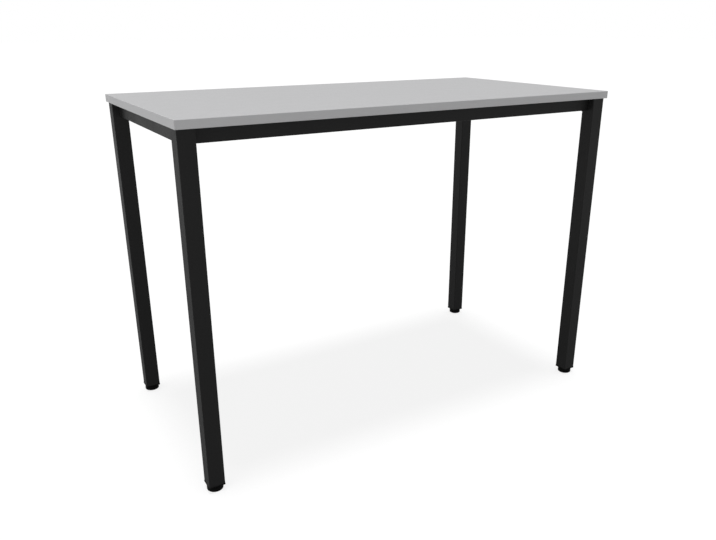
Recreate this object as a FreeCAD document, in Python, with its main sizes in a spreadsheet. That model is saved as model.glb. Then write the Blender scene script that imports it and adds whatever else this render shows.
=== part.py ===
import FreeCAD, Part

import os

import Sketcher

# A standing-height meeting table: a melamine-faced board on a steel frame of square legs
# and rectangular rails, with a screw-in levelling foot under each leg.
#
# Millimetres. +Z is up, X runs along the long side, the origin is on the floor under the
# middle of the table. The front is the -Y side and the left is the -X side.

SIZES = (
    # the worktop
    ("table_height", 1115, "floor to the top of the worktop"),
    ("top_length", 1550, "worktop along X, bands included"),
    ("top_width", 800, "worktop along Y, bands included"),
    ("board_thickness", 25, "melamine-faced chipboard"),
    ("band_thickness", 2, "ABS edge band"),
    ("band_round", 1.5, "radius on the outer edges of a band"),
    # the legs
    ("side_overhang", 6, "worktop past the legs, along X"),
    ("front_overhang", 10, "worktop past the legs, along Y"),
    ("leg_side", 50, "square tube, outside"),
    ("leg_wall", 2, "wall of the leg tube"),
    ("leg_round", 2.5, "outside corner radius of the leg tube"),
    ("least_round", 0.5, "smallest inside corner radius of a tube"),
    ("cap_thickness", 3, "plate welded on the top of a leg"),
    ("cap_hole", 10, "vent hole in that plate"),
    # the rails
    ("rail_height", 40, "rectangular tube of the long rails, upright side"),
    ("side_rail_height", 45, "rectangular tube of the short rails, upright side"),
    ("rail_depth", 25, "rectangular tube, level side"),
    ("rail_wall", 2, "wall of the rail tube"),
    ("rail_round", 2.5, "outside corner radius of the rail tube"),
    ("rail_end_gap", 0.5, "long rail's end to the leg, each end"),
    # the corner brackets
    ("bracket_plate", 3, "sheet of the folded bracket"),
    ("bracket_reach", 90, "length of each arm"),
    ("bracket_toe", 22, "width of an arm's end"),
    ("bracket_drop", 34, "depth of the upright flanges"),
    ("bracket_relief", 12, "notch at the corner, where the two folds meet"),
    ("bracket_round", 5, "radius on the flange ends"),
    ("fold_radius", 2, "inside radius of a fold in sheet"),
    # the bolts that hold the brackets to the rails
    ("bolt_near", 28, "first bolt from the leg"),
    ("bolt_far", 68, "second bolt from the leg"),
    ("bolt_diameter", 6, "button head screw"),
    ("bolt_length", 12, "under the head"),
    ("bolt_head_diameter", 10.5, "button head"),
    ("bolt_head_height", 3.3, "button head"),
    ("bolt_head_round", 2.3, "radius round the button head's crown"),
    ("bolt_socket_flats", 4, "hexagon socket, across flats"),
    ("bolt_socket_depth", 2, "hexagon socket"),
    ("bolt_clearance", 0.6, "hole over the bolt"),
    # the rivet nuts in the rails
    ("rivnut_flange", 1, "flange under the bracket"),
    ("rivnut_flange_diameter", 12, "flange under the bracket"),
    ("rivnut_body_diameter", 9, "barrel"),
    ("rivnut_length", 13, "barrel below the flange"),
    ("rivnut_bulge_diameter", 11.5, "set collar behind the rail's wall"),
    ("rivnut_bulge_length", 3, "set collar behind the rail's wall"),
    ("rivnut_clearance", 0.2, "thread over the bolt, hole over the barrel"),
    # the screws that hold the worktop
    ("screw_diameter", 4.5, "chipboard screw"),
    ("screw_length", 20, "under the head"),
    ("screw_tip", 4, "length of the point"),
    ("screw_head_diameter", 9, "pan head"),
    ("screw_head_height", 2.8, "pan head"),
    ("screw_rim_height", 1.5, "upright rim of the pan head"),
    ("screw_crown_diameter", 6.3, "flat crown of the pan head"),
    ("screw_slot_length", 5, "cross recess"),
    ("screw_slot_width", 1.2, "cross recess"),
    ("screw_slot_depth", 1.6, "cross recess"),
    ("screw_clearance", 0.6, "hole in the steel over the screw"),
    ("pilot_clearance", 0.2, "hole in the board over the screw"),
    ("pilot_spare", 1, "hole past the screw's point"),
    ("screw_near", 26, "corner screw, both ways from the leg"),
    ("screw_far", 70, "arm screw, along its rail"),
    ("screw_side", 16, "arm screw, from its rail"),
    # the tabs halfway along the long rails
    ("tab_plate", 3, "sheet of the folded tab"),
    ("tab_width", 40, "along the rail"),
    ("tab_reach", 30, "under the worktop"),
    ("tab_drop", 30, "down the rail"),
    ("tab_screw_reach", 19, "screw from the rail"),
    # the plastic inserts in the legs' lower ends
    ("insert_flange", 3, "flange under the tube"),
    ("insert_proud", 1, "flange past the tube, each side"),
    ("insert_height", 25, "socket part above the flange"),
    ("insert_wall", 2.5, "wall of the socket part"),
    ("insert_fit", 0.2, "socket part to the tube, each side"),
    ("boss_diameter", 24, "boss round the nut"),
    ("boss_height", 20, "boss above the flange"),
    ("web_thickness", 2, "webs from the boss to the walls"),
    ("nut_flats", 16, "hexagon nut, across flats"),
    ("nut_height", 8, "hexagon nut"),
    ("nut_fit", 0.2, "pocket over the nut, each side"),
    # the levelling feet
    ("foot_gap", 2, "foot's top to the insert's flange"),
    ("base_height", 16.2, "plastic foot"),
    ("base_diameter", 50, "plastic foot, at the rim"),
    ("base_top_diameter", 46, "plastic foot, at the top"),
    ("base_shoulder", 4, "height of the tapered shoulder"),
    ("base_round", 2.5, "radius round the bottom"),
    ("grip_diameter", 6, "finger flutes round the rim"),
    ("grip_depth", 1, "finger flutes round the rim"),
    ("grip_count", 12, "finger flutes round the rim"),
    ("pad_diameter", 42, "non-slip disc under the foot"),
    ("pad_thickness", 2, "non-slip disc under the foot"),
    ("pad_proud", 0.8, "disc below the foot"),
    ("pad_fit", 0.3, "recess over the disc, each way"),
    ("stud_diameter", 10, "threaded stud"),
    ("stud_length", 45, "stud above the foot"),
    ("stud_head_flats", 14, "hexagon head held in the foot"),
    ("stud_head_height", 5, "hexagon head held in the foot"),
    ("stud_fit", 0.1, "holes over the stud, each side"),
    ("stud_free", 0.3, "hole through the insert, each side"),
    ("stud_tip", 1, "chamfer at the stud's top"),
    ("thread_pitch", 1.5, "coarse thread on the stud"),
    ("thread_depth", 0.7, "depth of the thread's grooves"),
    ("thread_groove", 1.35, "width of a groove at the crest"),
    ("thread_start", 3, "plain length above the foot"),
)

# Places worked out from the sizes, as FreeCAD expressions.
UNDERSIDE = "(Sizes.table_height - Sizes.board_thickness)"
LEG_TOP = "(Sizes.table_height - Sizes.board_thickness - Sizes.cap_thickness)"
FOOT_TOP = "(Sizes.pad_proud + Sizes.base_height)"
FLANGE_BOTTOM = "(Sizes.pad_proud + Sizes.base_height + Sizes.foot_gap)"
LEG_BOTTOM = "(" + FLANGE_BOTTOM + " + Sizes.insert_flange)"
INNER_X = "(Sizes.top_length / 2 - Sizes.side_overhang - Sizes.leg_side)"
INNER_Y = "(Sizes.top_width / 2 - Sizes.front_overhang - Sizes.leg_side)"
LEG_X = "(Sizes.top_length / 2 - Sizes.side_overhang - Sizes.leg_side / 2)"
LEG_Y = "(Sizes.top_width / 2 - Sizes.front_overhang - Sizes.leg_side / 2)"
LEG_BORE = "(Sizes.leg_side - 2 * Sizes.leg_wall)"
BOLT_DROP = "(Sizes.cap_thickness + Sizes.rail_height / 2)"
SCREW_GRIP = "(Sizes.screw_length - Sizes.bracket_plate)"
TAB_GRIP = "(Sizes.screw_length - Sizes.tab_plate)"

# Corner name, sign of x, sign of y, and the turn that takes the front left corner there.
CORNERS = (
    ("front_left", -1, -1, 0),
    ("front_right", 1, -1, 90),
    ("back_right", 1, 1, 180),
    ("back_left", -1, 1, 270),
)

# Screws in a corner bracket, as distances along x and y from the leg's inner edge.
SCREW_SPOTS = (
    ("Sizes.screw_near", "Sizes.screw_near"),
    ("Sizes.screw_far", "Sizes.screw_side"),
    ("Sizes.screw_side", "Sizes.screw_far"),
)

# Two lengths closer than this are the same.
CLOSE = 1e-6

UP = FreeCAD.Vector(0, 0, 1)
ALONG_X = FreeCAD.Vector(1, 0, 0)
ALONG_Y = FreeCAD.Vector(0, 1, 0)

doc = FreeCAD.newDocument("MeetingTable")
sheet = doc.addObject("Spreadsheet::Sheet", "Sizes")
for row, (alias, number, note) in enumerate(SIZES, start=1):
    sheet.set("A%d" % row, alias)
    sheet.set("B%d" % row, str(number))
    sheet.set("C%d" % row, note)
    sheet.setAlias("B%d" % row, alias)
doc.recompute()


# ---------------------------------------------------------------- drawing helpers

def value(expression):
    """The number an expression gives with the present sizes."""
    result = sheet.evalExpression(expression)
    return float(getattr(result, "Value", result))


def new_body(name):
    """An empty PartDesign body."""
    body = doc.addObject("PartDesign::Body", name)
    body.Label = name
    return body


def new_sketch(body, name, role="XY_Plane", height=None):
    """A sketch on one of the body's own origin planes, raised along the plane's normal."""
    sketch = body.newObject("Sketcher::SketchObject", name)
    plane = next(item for item in body.Origin.OriginFeatures if item.Role == role)
    sketch.AttachmentSupport = [(plane, "")]
    sketch.MapMode = "FlatFace"
    if height is not None:
        sketch.setExpression("AttachmentOffset.Base.z", height)
    return sketch


def bind(sketch, constraint, expression):
    """Add a dimension to a sketch and tie it to the sheet."""
    index = sketch.addConstraint(constraint)
    name = "size_%d" % index
    sketch.renameConstraint(index, name)
    sketch.setExpression("Constraints." + name, expression)


def pin_point(sketch, geometry, point, x, y):
    """Hold one point of a sketch at x, y from the origin."""
    bind(sketch, Sketcher.Constraint("DistanceX", -1, 1, geometry, point, value(x)), x)
    bind(sketch, Sketcher.Constraint("DistanceY", -1, 1, geometry, point, value(y)), y)


def draw_outline(sketch, corners):
    """A closed outline through corners, each given as a pair of expressions."""
    spots = [FreeCAD.Vector(value(x), value(y), 0) for x, y in corners]
    count = len(spots)
    lines = []
    for index in range(count):
        segment = Part.LineSegment(spots[index], spots[(index + 1) % count])
        lines.append(sketch.addGeometry(segment, False))
    for index in range(count):
        following = lines[(index + 1) % count]
        sketch.addConstraint(Sketcher.Constraint("Coincident", lines[index], 2, following, 1))
    for line, (x, y) in zip(lines, corners):
        pin_point(sketch, line, 1, x, y)


def draw_rectangle(sketch, x_low, x_high, y_low, y_high):
    """An upright rectangle between four expressions."""
    draw_outline(sketch, ((x_low, y_low), (x_high, y_low), (x_high, y_high), (x_low, y_high)))


def draw_centred(sketch, x_size, y_size):
    """A rectangle centred on the sketch's origin."""
    half_x = "(%s) / 2" % x_size
    half_y = "(%s) / 2" % y_size
    draw_rectangle(sketch, "-" + half_x, half_x, "-" + half_y, half_y)


def draw_circle(sketch, diameter, x="0", y="0"):
    """A circle of a bound diameter at a bound place."""
    centre = FreeCAD.Vector(value(x), value(y), 0)
    circle = sketch.addGeometry(Part.Circle(centre, UP, value(diameter) / 2), False)
    pin_point(sketch, circle, 3, x, y)
    bind(sketch, Sketcher.Constraint("Diameter", circle, value(diameter)), diameter)


def draw_hexagon(sketch, flats):
    """A hexagon round the sketch's origin, given by its size across flats."""
    radius = "(%s) / 2 / cos(30)" % flats
    turns = range(0, 360, 60)
    draw_outline(sketch, [("%s * cos(%d)" % (radius, turn), "%s * sin(%d)" % (radius, turn))
                          for turn in turns])


def pad(body, sketch, length, downward=False, centred=False):
    """Extrude a sketch away from its plane."""
    feature = body.newObject("PartDesign::Pad", sketch.Name + "_pad")
    feature.Profile = sketch
    feature.setExpression("Length", length)
    feature.Reversed = downward
    feature.Midplane = centred
    doc.recompute()
    return feature


def cut(body, sketch, length=None, forward=False):
    """Cut a sketch into the solid: through it, or to a bound depth."""
    before = body.Shape.Volume
    feature = body.newObject("PartDesign::Pocket", sketch.Name + "_cut")
    feature.Profile = sketch
    if length is None:
        feature.Type = "ThroughAll"
        feature.Midplane = True
    else:
        feature.setExpression("Length", length)
        feature.Reversed = forward
    doc.recompute()
    if not body.Shape.Volume < before:
        raise ValueError("%s removes nothing" % feature.Name)
    return feature


def edges_along(feature, direction, keep=None):
    """Names of the straight edges that run along a direction, where keep accepts them."""
    names = []
    for index, edge in enumerate(feature.Shape.Edges, start=1):
        if not isinstance(edge.Curve, Part.Line):
            continue
        if edge.tangentAt(edge.FirstParameter).cross(direction).Length > CLOSE:
            continue
        if keep is None or keep(edge.CenterOfMass):
            names.append("Edge%d" % index)
    return names


def circles_at(feature, height):
    """Names of the full circles at one height."""
    return ["Edge%d" % index for index, edge in enumerate(feature.Shape.Edges, start=1)
            if edge.Closed and same(edge.CenterOfMass.z, height)]


def same(number, expression):
    """True where a measured number is what the expression gives."""
    return abs(number - value(expression)) < CLOSE


def round_edges(body, feature, names, radius):
    """Fillet the named edges of the body's last feature."""
    fillet = body.newObject("PartDesign::Fillet", feature.Name + "_round")
    fillet.Base = (feature, names)
    fillet.setExpression("Radius", radius)
    doc.recompute()
    return fillet


def revolve(body, sketch):
    """Turn a sketch on the XZ plane a full circle about Z."""
    feature = body.newObject("PartDesign::Revolution", sketch.Name + "_turned")
    feature.Profile = sketch
    feature.ReferenceAxis = (sketch, ["V_Axis"])
    feature.Angle = 360
    doc.recompute()
    return feature


# ---------------------------------------------------------------- placing helpers

nodes = []


def move(item, x, y, z, rotation=None):
    """Bind an object's place to the sheet."""
    if rotation is not None:
        item.Placement.Rotation = rotation
    item.setExpression("Placement.Base.x", x)
    item.setExpression("Placement.Base.y", y)
    item.setExpression("Placement.Base.z", z)


def copy_of(source, name, x, y, z, rotation=None):
    """A linked copy of a body or a group at a bound place."""
    link = doc.addObject("App::Link", name)
    link.LinkedObject = source
    link.Label = name
    move(link, x, y, z, rotation)
    return link


def place(source, name, x, y, z, turn=0):
    """One sub-part of the table: a linked copy, turned about Z."""
    nodes.append(copy_of(source, name, x, y, z, FreeCAD.Rotation(UP, turn)))


def group(name, members):
    """Several separate solids held as one object."""
    compound = doc.addObject("Part::Compound", name)
    compound.Links = members
    doc.recompute()
    return compound


def signed(sign, expression):
    """The expression, or its negative."""
    return expression if sign > 0 else "-" + expression


def place_at_legs(source, name, height):
    """One copy under, in or on each leg."""
    for corner, sign_x, sign_y, _ in CORNERS:
        place(source, "%s_%s" % (name, corner), signed(sign_x, LEG_X), signed(sign_y, LEG_Y), height)


def place_in_corners(source, name):
    """One copy in each inner corner of the frame, with its top under the worktop."""
    for corner, sign_x, sign_y, turn in CORNERS:
        place(source, "%s_%s" % (name, corner), signed(sign_x, INNER_X), signed(sign_y, INNER_Y),
              UNDERSIDE, turn)


# ---------------------------------------------------------------- worktop

def make_board():
    """The chipboard panel, drilled from below for its screws."""
    body = new_body("board")
    outline = new_sketch(body, "board_outline")
    draw_centred(outline, "Sizes.top_length - 2 * Sizes.band_thickness",
                 "Sizes.top_width - 2 * Sizes.band_thickness")
    pad(body, outline, "Sizes.board_thickness")

    hole = "Sizes.screw_diameter + Sizes.pilot_clearance"
    corner_holes = new_sketch(body, "board_corner_holes")
    for _, sign_x, sign_y, _ in CORNERS:
        for along_x, along_y in SCREW_SPOTS:
            draw_circle(corner_holes, hole,
                        signed(sign_x, "(%s - %s)" % (INNER_X, along_x)),
                        signed(sign_y, "(%s - %s)" % (INNER_Y, along_y)))
    cut(body, corner_holes, SCREW_GRIP + " + Sizes.pilot_spare", forward=True)

    tab_holes = new_sketch(body, "board_tab_holes")
    for side in (-1, 1):
        draw_circle(tab_holes, hole, "0", signed(side, "(%s - Sizes.tab_screw_reach)" % INNER_Y))
    cut(body, tab_holes, TAB_GRIP + " + Sizes.pilot_spare", forward=True)
    return body


def make_band(name, length, round_ends):
    """An edge band lying along X, its glued face on y = 0 and its outer face at -Y."""
    body = new_body(name)
    section = new_sketch(body, name + "_section", "YZ_Plane")
    draw_rectangle(section, "-Sizes.band_thickness", "0", "0", "Sizes.board_thickness")
    strip = pad(body, section, length, centred=True)

    def on_outer_face(middle):
        return same(middle.y, "-Sizes.band_thickness")

    def on_end(middle):
        return same(abs(middle.x), "(%s) / 2" % length)

    rounded = edges_along(strip, ALONG_X, on_outer_face)
    if round_ends:
        rounded += edges_along(strip, UP, on_outer_face) + edges_along(strip, ALONG_Y, on_end)
    round_edges(body, strip, rounded, "Sizes.band_round")
    return body


board = make_board()
nodes.append(board)
move(board, "0", "0", UNDERSIDE)
board.Label = "tabletop_board"

long_band = make_band("long_band", "Sizes.top_length", True)
short_band = make_band("short_band", "Sizes.top_width - 2 * Sizes.band_thickness", False)
BAND_X = "(Sizes.top_length / 2 - Sizes.band_thickness)"
BAND_Y = "(Sizes.top_width / 2 - Sizes.band_thickness)"
place(long_band, "edge_band_front", "0", "-" + BAND_Y, UNDERSIDE)
place(long_band, "edge_band_back", "0", BAND_Y, UNDERSIDE, 180)
place(short_band, "edge_band_left", "-" + BAND_X, "0", UNDERSIDE, 270)
place(short_band, "edge_band_right", BAND_X, "0", UNDERSIDE, 90)


# ---------------------------------------------------------------- legs and rails

def inner_radius(outer, wall):
    """Inside corner radius of a tube, from its outside radius and its wall."""
    return "max(%s - %s; Sizes.least_round)" % (outer, wall)


def make_tube(name, section_role, x_size, y_size, wall, radius, length, centred):
    """A rectangular steel tube with rounded corners."""
    along = UP if section_role == "XY_Plane" else ALONG_X
    body = new_body(name)
    outside = new_sketch(body, name + "_outside", section_role)
    draw_centred(outside, x_size, y_size)
    solid = pad(body, outside, length, centred=centred)
    solid = round_edges(body, solid, edges_along(solid, along), radius)

    x_bore = "(%s - 2 * %s)" % (x_size, wall)
    y_bore = "(%s - 2 * %s)" % (y_size, wall)
    inside = new_sketch(body, name + "_inside", section_role)
    draw_centred(inside, x_bore, y_bore)
    hollow = cut(body, inside)

    def on_the_bore(middle):
        across = (middle.x, middle.y) if section_role == "XY_Plane" else (middle.y, middle.z)
        return same(abs(across[0]), x_bore + " / 2") and same(abs(across[1]), y_bore + " / 2")

    round_edges(body, hollow, edges_along(hollow, along, on_the_bore), inner_radius(radius, wall))
    return body


def make_leg():
    """A leg tube, standing on z = 0."""
    length = "%s - %s" % (LEG_TOP, LEG_BOTTOM)
    return make_tube("leg", "XY_Plane", "Sizes.leg_side", "Sizes.leg_side", "Sizes.leg_wall",
                     "Sizes.leg_round", length, centred=False)


def make_leg_cap():
    """The plate that closes a leg's top and carries the worktop."""
    body = new_body("leg_cap")
    outline = new_sketch(body, "leg_cap_outline")
    draw_centred(outline, "Sizes.leg_side", "Sizes.leg_side")
    plate = pad(body, outline, "Sizes.cap_thickness")
    round_edges(body, plate, edges_along(plate, UP), "Sizes.leg_round")
    vent = new_sketch(body, "leg_cap_vent")
    draw_circle(vent, "Sizes.cap_hole")
    cut(body, vent)
    return body


def make_rail(name, height, half_span, end_gap):
    """A rail lying along X with its inner face at +Y, drilled there for its rivet nuts."""
    body = make_tube(name, "YZ_Plane", "Sizes.rail_depth", height,
                     "Sizes.rail_wall", "Sizes.rail_round",
                     "2 * %s - 2 * %s" % (half_span, end_gap), centred=True)
    bolt_level = "(%s / 2 + Sizes.cap_thickness - %s)" % (height, BOLT_DROP)
    holes = new_sketch(body, name + "_holes", "XZ_Plane",
                       "-(Sizes.rail_depth / 2 + Sizes.rivnut_flange)")
    for side in (-1, 1):
        for distance in ("Sizes.bolt_near", "Sizes.bolt_far"):
            draw_circle(holes, "Sizes.rivnut_body_diameter + Sizes.rivnut_clearance",
                        signed(side, "(%s - %s)" % (half_span, distance)), bolt_level)
    cut(body, holes, "Sizes.rail_depth / 2", forward=True)
    return body


leg = make_leg()
place_at_legs(leg, "leg", LEG_BOTTOM)
place_at_legs(make_leg_cap(), "leg_cap", LEG_TOP)

RAIL_Z = "(%s - Sizes.rail_height / 2)" % LEG_TOP
SIDE_RAIL_Z = "(%s - Sizes.side_rail_height / 2)" % LEG_TOP
RAIL_X = "(%s + Sizes.rail_depth / 2)" % INNER_X
RAIL_Y = "(%s + Sizes.rail_depth / 2)" % INNER_Y
long_rail = make_rail("long_rail", "Sizes.rail_height", INNER_X, "Sizes.rail_end_gap")
side_rail = make_rail("side_rail", "Sizes.side_rail_height", INNER_Y, "0")
place(long_rail, "rail_front", "0", "-" + RAIL_Y, RAIL_Z)
place(long_rail, "rail_back", "0", RAIL_Y, RAIL_Z, 180)
place(side_rail, "rail_left", "-" + RAIL_X, "0", SIDE_RAIL_Z, 270)
place(side_rail, "rail_right", RAIL_X, "0", SIDE_RAIL_Z, 90)


# ---------------------------------------------------------------- corner brackets

def make_bracket():
    """A folded corner bracket: z = 0 under the worktop, x = y = 0 at the leg's inner edge."""
    body = new_body("corner_bracket_shape")
    heel = "Sizes.rivnut_flange"
    start = "(Sizes.rivnut_flange + Sizes.bracket_relief)"
    end = "(Sizes.rivnut_flange + Sizes.bracket_reach)"
    toe = "(Sizes.rivnut_flange + Sizes.bracket_toe)"
    face = "(Sizes.rivnut_flange + Sizes.bracket_plate)"
    low = "-(Sizes.bracket_plate + Sizes.bracket_drop)"

    web = new_sketch(body, "bracket_web")
    draw_outline(web, ((start, heel), (end, heel), (end, toe), (toe, end), (heel, end),
                       (heel, start), (start, start)))
    pad(body, web, "Sizes.bracket_plate", downward=True)
    flanges = new_sketch(body, "bracket_flanges", height="-Sizes.bracket_plate")
    draw_rectangle(flanges, start, end, heel, face)
    draw_rectangle(flanges, heel, face, start, end)
    folded = pad(body, flanges, "Sizes.bracket_drop", downward=True)

    def flange_tip(middle):
        lowest = same(middle.z, low)
        return lowest and (same(middle.x, end) or same(middle.y, end)
                           or same(middle.x, start) or same(middle.y, start))

    tips = edges_along(folded, ALONG_Y, flange_tip) + edges_along(folded, ALONG_X, flange_tip)
    folded = round_edges(body, folded, tips, "Sizes.bracket_round")

    def outside_fold(middle):
        return same(middle.z, "0") and (same(middle.x, heel) or same(middle.y, heel))

    def inside_fold(middle):
        underneath = same(middle.z, "-Sizes.bracket_plate")
        return underneath and (same(middle.x, face) or same(middle.y, face))

    folds = edges_along(folded, ALONG_X, outside_fold) + edges_along(folded, ALONG_Y, outside_fold)
    folded = round_edges(body, folded, folds, "Sizes.fold_radius + Sizes.bracket_plate")
    folds = edges_along(folded, ALONG_X, inside_fold) + edges_along(folded, ALONG_Y, inside_fold)
    round_edges(body, folded, folds, "Sizes.fold_radius")

    hole = "Sizes.bolt_diameter + Sizes.bolt_clearance"
    across_y = new_sketch(body, "bracket_bolt_holes_y", "XZ_Plane")
    across_x = new_sketch(body, "bracket_bolt_holes_x", "YZ_Plane")
    for distance in ("Sizes.bolt_near", "Sizes.bolt_far"):
        draw_circle(across_y, hole, distance, "-" + BOLT_DROP)
        draw_circle(across_x, hole, distance, "-" + BOLT_DROP)
    cut(body, across_y)
    cut(body, across_x)

    screws = new_sketch(body, "bracket_screw_holes")
    for along_x, along_y in SCREW_SPOTS:
        draw_circle(screws, "Sizes.screw_diameter + Sizes.screw_clearance", along_x, along_y)
    cut(body, screws)
    return body


def make_bolt():
    """A button head bolt: bearing face on z = 0, shank down, head up."""
    body = new_body("bolt_shape")
    shank = new_sketch(body, "bolt_shank")
    draw_circle(shank, "Sizes.bolt_diameter")
    pad(body, shank, "Sizes.bolt_length", downward=True)
    head = new_sketch(body, "bolt_head")
    draw_circle(head, "Sizes.bolt_head_diameter")
    top = pad(body, head, "Sizes.bolt_head_height")
    round_edges(body, top, circles_at(top, "Sizes.bolt_head_height"), "Sizes.bolt_head_round")
    socket = new_sketch(body, "bolt_socket", height="Sizes.bolt_head_height")
    draw_hexagon(socket, "Sizes.bolt_socket_flats")
    cut(body, socket, "Sizes.bolt_socket_depth")
    return body


def make_rivnut():
    """A set rivet nut: rail's face on z = 0, flange up, barrel down."""
    body = new_body("rivnut_shape")
    flange = new_sketch(body, "rivnut_flange_outline")
    draw_circle(flange, "Sizes.rivnut_flange_diameter")
    pad(body, flange, "Sizes.rivnut_flange")
    barrel = new_sketch(body, "rivnut_barrel")
    draw_circle(barrel, "Sizes.rivnut_body_diameter")
    pad(body, barrel, "Sizes.rivnut_length", downward=True)
    collar = new_sketch(body, "rivnut_collar", height="-Sizes.rail_wall")
    draw_circle(collar, "Sizes.rivnut_bulge_diameter")
    pad(body, collar, "Sizes.rivnut_bulge_length", downward=True)
    bore = new_sketch(body, "rivnut_bore")
    draw_circle(bore, "Sizes.bolt_diameter + Sizes.rivnut_clearance")
    cut(body, bore)
    return body


def make_screw():
    """A pan head chipboard screw: bearing face on z = 0, shank up, head down."""
    body = new_body("screw_shape")
    radius = "Sizes.screw_diameter / 2"
    head_radius = "Sizes.screw_head_diameter / 2"
    profile = new_sketch(body, "screw_profile", "XZ_Plane")
    draw_outline(profile, (("0", "-Sizes.screw_head_height"),
                           ("Sizes.screw_crown_diameter / 2", "-Sizes.screw_head_height"),
                           (head_radius, "-Sizes.screw_rim_height"),
                           (head_radius, "0"),
                           (radius, "0"),
                           (radius, "Sizes.screw_length - Sizes.screw_tip"),
                           ("0", "Sizes.screw_length")))
    revolve(body, profile)
    for name, x_size, y_size in (("screw_slot", "length", "width"), ("screw_cross", "width", "length")):
        recess = new_sketch(body, name, height="-Sizes.screw_head_height")
        draw_centred(recess, "Sizes.screw_slot_" + x_size, "Sizes.screw_slot_" + y_size)
        cut(body, recess, "Sizes.screw_slot_depth", forward=True)
    return body


bolt = make_bolt()
rivnut = make_rivnut()
screw = make_screw()

TOWARDS_Y = FreeCAD.Rotation(UP, ALONG_Y)
TOWARDS_X = FreeCAD.Rotation(UP, ALONG_X)
BEARING = "(Sizes.rivnut_flange + Sizes.bracket_plate)"
bolts = []
rivnuts = []
for spot in ("near", "far"):
    along = "Sizes.bolt_" + spot
    low = "-" + BOLT_DROP
    bolts.append(copy_of(bolt, "bolt_y_" + spot, along, BEARING, low, TOWARDS_Y))
    bolts.append(copy_of(bolt, "bolt_x_" + spot, BEARING, along, low, TOWARDS_X))
    rivnuts.append(copy_of(rivnut, "rivnut_y_" + spot, along, "0", low, TOWARDS_Y))
    rivnuts.append(copy_of(rivnut, "rivnut_x_" + spot, "0", along, low, TOWARDS_X))
screws = [copy_of(screw, "screw_%d" % number, along_x, along_y, "-Sizes.bracket_plate")
          for number, (along_x, along_y) in enumerate(SCREW_SPOTS)]

place_in_corners(make_bracket(), "corner_bracket")
place_in_corners(group("bolt_set", bolts), "bracket_bolts")
place_in_corners(group("rivnut_set", rivnuts), "rivet_nuts")
place_in_corners(group("screw_set", screws), "top_screws")


# ---------------------------------------------------------------- centre tabs

def make_tab():
    """A folded tab on the front rail's inner face: z = 0 under the worktop."""
    body = new_body("tab_shape")
    section = new_sketch(body, "tab_section", "YZ_Plane")
    draw_outline(section, (("0", "0"),
                           ("Sizes.tab_reach", "0"),
                           ("Sizes.tab_reach", "-Sizes.tab_plate"),
                           ("Sizes.tab_plate", "-Sizes.tab_plate"),
                           ("Sizes.tab_plate", "-Sizes.tab_plate - Sizes.tab_drop"),
                           ("0", "-Sizes.tab_plate - Sizes.tab_drop")))
    folded = pad(body, section, "Sizes.tab_width", centred=True)
    outside = edges_along(folded, ALONG_X, lambda middle: same(middle.y, "0") and same(middle.z, "0"))
    folded = round_edges(body, folded, outside, "Sizes.fold_radius + Sizes.tab_plate")
    inside = edges_along(folded, ALONG_X, lambda middle: same(middle.y, "Sizes.tab_plate")
                         and same(middle.z, "-Sizes.tab_plate"))
    round_edges(body, folded, inside, "Sizes.fold_radius")
    hole = new_sketch(body, "tab_hole")
    draw_circle(hole, "Sizes.screw_diameter + Sizes.screw_clearance", "0", "Sizes.tab_screw_reach")
    cut(body, hole)
    return body


tab = make_tab()
place(tab, "centre_tab_front", "0", "-" + INNER_Y, UNDERSIDE)
place(tab, "centre_tab_back", "0", INNER_Y, UNDERSIDE, 180)
TAB_SCREW_Y = "(%s - Sizes.tab_screw_reach)" % INNER_Y
TAB_SCREW_Z = "(%s - Sizes.tab_plate)" % UNDERSIDE
place(screw, "centre_screw_front", "0", "-" + TAB_SCREW_Y, TAB_SCREW_Z)
place(screw, "centre_screw_back", "0", TAB_SCREW_Y, TAB_SCREW_Z, 180)


# ---------------------------------------------------------------- levelling feet

def make_insert():
    """The plastic insert in a leg's lower end: z = 0 under its flange."""
    body = new_body("insert_shape")
    side = "(Sizes.leg_side + 2 * Sizes.insert_proud)"
    flange = new_sketch(body, "insert_flange_outline")
    draw_centred(flange, side, side)
    plate = pad(body, flange, "Sizes.insert_flange")
    round_edges(body, plate, edges_along(plate, UP), "Sizes.leg_round + Sizes.insert_proud")

    socket = "(%s - 2 * Sizes.insert_fit)" % LEG_BORE
    hollow = "(%s - 2 * Sizes.insert_wall)" % socket
    outside = new_sketch(body, "insert_socket", height="Sizes.insert_flange")
    draw_centred(outside, socket, socket)
    draw_centred(outside, hollow, hollow)
    walls = pad(body, outside, "Sizes.insert_height")
    half = socket + " / 2"

    def outer_corner(middle):
        on_socket = same(abs(middle.x), half) and same(abs(middle.y), half)
        return on_socket and same(middle.z, "Sizes.insert_flange + Sizes.insert_height / 2")

    round_edges(body, walls, edges_along(walls, UP, outer_corner),
                inner_radius("Sizes.leg_round", "Sizes.leg_wall"))

    boss = new_sketch(body, "insert_boss", height="Sizes.insert_flange")
    draw_circle(boss, "Sizes.boss_diameter")
    pad(body, boss, "Sizes.boss_height")
    for name, x_size, y_size in (("insert_web_x", hollow, "Sizes.web_thickness"),
                                 ("insert_web_y", "Sizes.web_thickness", hollow)):
        web = new_sketch(body, name, height="Sizes.insert_flange")
        draw_centred(web, x_size, y_size)
        pad(body, web, "Sizes.boss_height / 2")

    hole = new_sketch(body, "insert_stud_hole")
    draw_circle(hole, "Sizes.stud_diameter + 2 * Sizes.stud_free")
    cut(body, hole)
    pocket = new_sketch(body, "insert_nut_pocket", height="Sizes.insert_flange + Sizes.boss_height")
    draw_hexagon(pocket, "Sizes.nut_flats + 2 * Sizes.nut_fit")
    cut(body, pocket, "Sizes.nut_height")
    return body


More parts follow.
